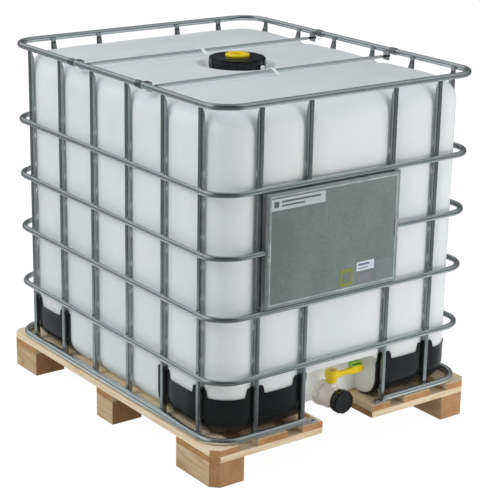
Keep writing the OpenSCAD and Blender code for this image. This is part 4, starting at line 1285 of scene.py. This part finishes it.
# ---------------------------------------------------------------- valve
# Round the outlet axis: (radius, distance towards -Y, rounding)
HOUSING_PROFILE = [
    (30.7, 488.2), (36.0, 488.2, 0.4), (36.0, 491.3, 0.8), (33.5, 492.0, 1.5), (33.5, 496, 4),
    (36.0, 504, 9), (37.6, 515, 12), (36.0, 527, 9), (33.2, 535, 4), (33.2, 544.5, 1.5),
    (35.0, 546, 0.8), (35.0, 551, 0.8), (29.6, 552.4, 0.6), (29.5, 573.2, 0.8),
    (28.2, 574.0, 0.4), (24.0, 574.0, 0.5), (24.0, 545.2, 0.3), (30.6, 544.9, 0.2)]
NUT_PROFILE = [
    (28.75, 470.2), (38, 470.2, 1), (42.8, 472.5, 1.5), (42.8, 491, 1.5), (39.5, 493.8, 1.2),
    (33.3, 493.8, 0.5), (33.3, 491.6, 0.3), (36.2, 491.5, 0.3), (36.2, 486.1, 0.3),
    (28.75, 486.0, 0.3)]
DUST_CAP_OUTER = [
    (29.75, 553.2), (34.5, 553.2, 0.8), (37.3, 555.2, 1.2), (37.3, 577.6, 2.4),
    (34.2, 580.4, 1.6), (31.0, 580.4, 0.8), (30.2, 579.0, 0.8), (0, 578.6)]
DUST_CAP_INNER = [(0, 577.0), (29.75, 577.0, 0.5), (29.75, 553.2)]
# Round the stem: (radius, height above the outlet axis, rounding)
BONNET_PROFILE = [
    (8.1, 28), (17.0, 28), (17.0, 44.5, 1.2), (15.2, 46.0, 0.8), (11.2, 46.0, 0.4),
    (11.0, 42.4, 0.3), (11.0, 39, 0.2), (8.1, 39, 0.2)]
GUSSET_OUTLINE = [(12, 30), (27, 27), (24.5, 31.5), (17.5, 40), (12, 43)]
# Lever hub round the stem: (radius, height above the lever's foot, rounding)
HUB_PROFILE = [
    (8.3, 0.1), (17.6, 0.1, 1.5), (17.8, 13, 3), (20.8, 16, 2.5), (20.8, 37.5, 3),
    (18.5, 39.8, 2), (8.2, 39.8, 1), (8.2, 36.3, 0.5), (3.2, 36.2, 0.2), (3.2, 20, 0.2),
    (8.3, 19.5, 0.2)]
# Lever arm sections: x, half width, half height, height of the middle above the lever's foot
ARM_SECTIONS = [
    (4, 8.0, 10.5, 18.5), (22, 7.0, 9.6, 19.0), (40, 6.2, 8.6, 19.5), (58, 6.4, 8.8, 20.2),
    (72, 8.4, 10.6, 20.8), (84, 9.6, 12.6, 21.0), (100, 10.0, 13.0, 21.0),
    (114, 9.8, 12.8, 21.0), (123, 8.0, 10.6, 21.0), (127.6, 4.0, 6.0, 21.0)]
# Middle line of the tamper tab: x, height above the lever's foot
TAB_PATH = [(74, 34.4), (74, 45.5), (78, 47.4), (92, 47.0), (112, 43.6), (118, 38.4)]
TAB_HALF_WIDTH, TAB_HALF_THICKNESS = 8.6, 1.5


def nut_lobes(angle, radius):
    if radius > 38.5:
        return radius - (1 - rib(angle, pitch=45, half=8.5, fade=3.0)) * 2.8
    return radius


def cap_flutes(angle, radius):
    if radius > 34.6:
        return radius - 2.6 * (0.5 + 0.5 * math.cos(angle * 10)) ** 2.2
    return radius


def build_valve_body():
    verts, faces = turned(HOUSING_PROFILE, 96, 1.0, steps=4)
    Shape().add(to_valve(verts), faces).make(
        "valve_housing", LOOKS["natural"], "natural_plastic", "valve_body", angle=50)
    # bonnet round the stem, with four gussets
    centre = np.array([0, VALVE_Y, VALVE_Z])
    verts, faces = turned(BONNET_PROFILE, 64, 0.8)
    shape = Shape().add(verts + centre, faces)
    verts, faces = extrude(GUSSET_OUTLINE, -1.6, 1.6)
    for turn in (45, 135, 225, 315):
        shape.add(turn_z(verts, turn) + centre, faces, smooth=False)
    shape.make("valve_bonnet", LOOKS["natural"], "natural_plastic", "valve_body", angle=40)


def build_union_nut():
    verts, faces = turned(NUT_PROFILE, 192, 0.8, reshape=nut_lobes)
    Shape().add(to_valve(verts), faces).make(
        "union_nut_moulded", LOOKS["natural"], "natural_plastic", "union_nut", angle=45)


def build_lever():
    """Hub and arm with its rounded grip, blended by a voxel pass."""
    profile = [(r, LEVER_Z + z, *rounding) for r, z, *rounding in HUB_PROFILE]
    verts, faces = turned(profile, 64, 1)
    shape = Shape().add(verts + np.array([0, VALVE_Y, 0]), faces)
    arm = []
    for x, half_width, half_height, middle in ARM_SECTIONS:
        radius = min(half_width, half_height) * 0.55
        section = rounded_rect(half_width, half_height, radius, 4)
        arm += [(x, VALVE_Y + a, LEVER_Z + middle + b) for a, b in section]
    shape.add(arm, tube_faces(len(ARM_SECTIONS), len(section)))
    ob = shape.make("lever_handle", LOOKS["yellow"], "yellow_plastic", "lever", "valve_lever", 180)
    merge = ob.modifiers.new("merge", "REMESH")
    merge.mode = "VOXEL"
    merge.voxel_size = 0.0013
    soft = ob.modifiers.new("soft", "SMOOTH")
    soft.factor = 0.5
    soft.iterations = 6
    apply_smooth(ob)


def build_tamper_tab():
    """A folded leaf standing on the grip, over a flat foot."""
    path = np.array(fillet(TAB_PATH, 3.0, 5))
    tangent = np.gradient(path, axis=0)
    tangent /= np.linalg.norm(tangent, axis=1)[:, None]
    off = np.stack([-tangent[:, 1], tangent[:, 0]], 1) * TAB_HALF_THICKNESS
    outline = np.concatenate([path + off, (path - off)[::-1]])
    y0, y1 = VALVE_Y - TAB_HALF_WIDTH, VALVE_Y + TAB_HALF_WIDTH
    verts, faces = extrude(outline, y0, y1)
    shape = Shape().add(verts + np.array([0, 0, LEVER_Z]), faces)
    shape.add(*prism(rectangle(75, 117, y0, y1), LEVER_Z + 33.2, LEVER_Z + 36.4))
    ob = shape.make("tamper_tab_leaf", LOOKS["green"], "green_plastic", "tamper_tab",
                    "valve_lever", 40)
    bevel(ob, 0.7, 2, 45)


def build_dust_cap():
    """Outlet cap with grip flutes and a shallow dished face."""
    profile = fillet(DUST_CAP_OUTER, 0.8, 4) + fillet(DUST_CAP_INNER, 0.5, 3)
    verts, faces = lathe(profile, 160, cap_flutes)
    Shape().add(to_valve(verts), faces).make(
        "outlet_cap_fluted", LOOKS["capblack"], "black_plastic", "outlet_cap",
        "outlet_cap_turn", 40)


# ---------------------------------------------------------------- CAD pieces shown as they are
CAD_LOOKS = {
    "nail": ["pallet_nails"],
    "clamp": ["bar_clamps", "bar_nuts"],
    "foot": ["frame_straps"],
    "zinc": ["frame_screws", "lever_screw"],
    "natural": ["fill_cap_gasket", "seat_retainer", "ball_seats", "valve_ball", "valve_stem"],
    "rubber": ["vent_plug_gasket", "outlet_gasket", "stem_oring", "outlet_cap_gasket"],
}


def dress_cad():
    for look, nodes in CAD_LOOKS.items():
        for node in nodes:
            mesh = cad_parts[node].data
            mesh.materials.clear()
            mesh.materials.append(LOOKS[look])
            for face in mesh.polygons:
                face.material_index = 0


# ---------------------------------------------------------------- stage, light, camera
def floor_material():
    """White floor that shows differently to camera, reflection and diffuse rays."""
    mat = material_nodes("floor_white")
    rays = mat.node("LightPath").outputs
    place = mat.coord()
    distance = mat.node("VectorMath", {"operation": "LENGTH"}, i0=place).outputs["Value"]
    unit = mat.node("VectorMath", {"operation": "NORMALIZE"}, i0=place).outputs[0]
    to_camera = mat.dot(unit, (-0.594, -0.804, 0.0))
    grain = mat.noise(place, scale=30.0, detail=2.0)
    plain = mat.node("BsdfDiffuse", Color=(0.9, 0.9, 0.9))
    # camera: nearly pure white
    white = mat.node("BsdfDiffuse", Color=mat.mix(grain, (0.90, 0.90, 0.90), (0.93, 0.93, 0.93)))
    glow = mat.node("Emission", Color=(1, 1, 1), Strength=1.07)
    seen = mat.node("MixShader", i0=0.90, i1=white, i2=glow)
    # reflections: bright near the container, dark away from it and towards the camera
    near = mat.mul(mat.remap(distance, span=(1.05, 2.2), to=(0.72, 0.19)),
                   mat.remap(to_camera, span=(0.50, 0.85), to=(1.0, 0.10)))
    glow = mat.node("Emission", Color=(0.92, 0.97, 1.0), Strength=near)
    mirrored = mat.node("MixShader", i0=0.92, i1=plain, i2=glow)
    # diffuse bounce: dim under the pallet
    strength = mat.remap(distance, span=(0.45, 0.95), to=(0.06, 0.70))
    glow = mat.node("Emission", Color=(1.0, 0.99, 0.97), Strength=strength)
    bounced = mat.node("MixShader", i0=0.72, i1=plain, i2=glow)
    shader = mat.node("MixShader", i0=rays["Is Camera Ray"], i1=bounced, i2=seen)
    shader = mat.node("MixShader", i0=rays["Is Glossy Ray"], i1=shader, i2=mirrored)
    mat.put(mat.output, "i0", shader)
    return mat.owner


def build_floor():
    half = 30.0
    mesh = bpy.data.meshes.new("floor")
    corners = [(-half, -half, 0), (half, -half, 0), (half, half, 0), (-half, half, 0)]
    mesh.from_pydata(corners, [], [(0, 1, 2, 3)])
    mesh.materials.append(floor_material())
    floor = bpy.data.objects.new("floor", mesh)
    bpy.context.scene.collection.objects.link(floor)
    floor.location.z = -0.0005


def build_world():
    world = bpy.data.worlds.new("studio")
    bpy.context.scene.world = world
    sky = Nodes(world, "OutputWorld")
    rays = sky.node("LightPath").outputs
    view = sky.node("TexCoord").outputs["Generated"]
    up = sky.split(view)[2]

    def lobe(direction, span, to):
        """A soft patch round a direction; span is in cosines."""
        facing = sky.dot(view, Vector(direction).normalized())
        return sky.remap(facing, span, to, smooth=True)

    # reflections: soft boxes behind, front right and left
    glossy = sky.add(0.18, lobe((-0.25, 0.77, 0.60), span=(0.72, 0.93), to=(0.0, 0.34)))
    glossy = sky.add(glossy, lobe((0.60, -0.35, 0.70), span=(0.70, 0.95), to=(0.0, 0.22)))
    glossy = sky.add(glossy, lobe((-0.90, -0.05, 0.42), span=(0.80, 0.96), to=(0.0, 0.60)))
    # darker low down, and black cloth behind the camera
    glossy = sky.mul(glossy, sky.remap(up, span=(0.12, 0.42), to=(0.28, 1.0), smooth=True))
    glossy = sky.mul(glossy, lobe((-0.50, -0.68, 0.55), span=(0.58, 0.86), to=(1.0, 0.07)))
    # diffuse light: weaker from the camera's side
    diffuse = sky.mul(0.60, lobe((-0.58, -0.79, 0.15), span=(0.45, 0.95), to=(1.0, 0.45)))
    seen = sky.node("Background", Color=(1, 1, 1), Strength=1.05)
    diffuse = sky.node("Background", Color=(0.97, 0.985, 1.0), Strength=diffuse)
    glossy = sky.node("Background", Color=(0.95, 0.985, 1.0), Strength=glossy)
    shader = sky.node("MixShader", i0=rays["Is Glossy Ray"], i1=diffuse, i2=glossy)
    shader = sky.node("MixShader", i0=rays["Is Camera Ray"], i1=shader, i2=seen)
    sky.put(sky.output, "i0", shader)


def area_light(name, place, target, size, power, color=(1, 1, 1)):
    light = bpy.data.lights.new(name, "AREA")
    light.shape = "RECTANGLE"
    light.size, light.size_y = size
    light.energy = power
    light.color = color
    ob = bpy.data.objects.new(name, light)
    bpy.context.scene.collection.objects.link(ob)
    ob.location = place
    aim = Vector(target) - Vector(place)
    ob.rotation_euler = aim.to_track_quat("-Z", "Y").to_euler()
    ob.visible_glossy = False


def build_lights():
    area_light("key_left", place=(-4.1, 0.5, 3.5), target=(0, 0, 0.6), size=(2.4, 2.4),
               power=88, color=(0.95, 0.99, 1.0))
    area_light("fill_front", place=(2.6, -4.2, 1.25), target=(0, 0, 0.38), size=(2.4, 1.8),
               power=49)
    area_light("top_soft", place=(-0.6, 0.3, 4.2), target=(0, 0, 1.0), size=(2.6, 2.6), power=22)
    area_light("low_right", place=(1.9, -3.0, 0.45), target=(0.25, -0.4, 0.25), size=(1.2, 0.6),
               power=23)


def build_camera():
    right = (0.8074996814728993, -0.5896303026044831, 0.016744272803320134)
    up = (0.16757034967552853, 0.25651991202646407, 0.9519021549736908)
    back = (-0.5655655950734516, -0.7658548432859068, 0.3059443032395468)
    data = bpy.data.cameras.new("camera")
    data.sensor_fit = "AUTO"
    data.sensor_width = 36.0
    data.lens = 115.48059229341
    data.clip_start, data.clip_end = 0.1, 200.0
    camera = bpy.data.objects.new("camera", data)
    pose = Matrix((right, up, back)).transposed().to_4x4()
    pose.translation = (-2.927260264, -3.995424104, 2.076761427)
    camera.matrix_world = pose
    bpy.context.scene.collection.objects.link(camera)
    bpy.context.scene.camera = camera


build_rings()
build_uprights()
build_weld_beads()
build_bar_tubes()
build_bar_studs()
build_bar_clips()
build_bottle_shell()
build_bottle_fittings()
build_guards()
build_pallet()
build_plate_sheet()
build_plate_rivets()
build_plate_films()
build_caps()
build_valve_body()
build_union_nut()
build_lever()
build_tamper_tab()
build_dust_cap()
dress_cad()
build_floor()
build_world()
build_lights()
build_camera()
view_settings = bpy.context.scene.view_settings
view_settings.view_transform = "Standard"
view_settings.look = "None"
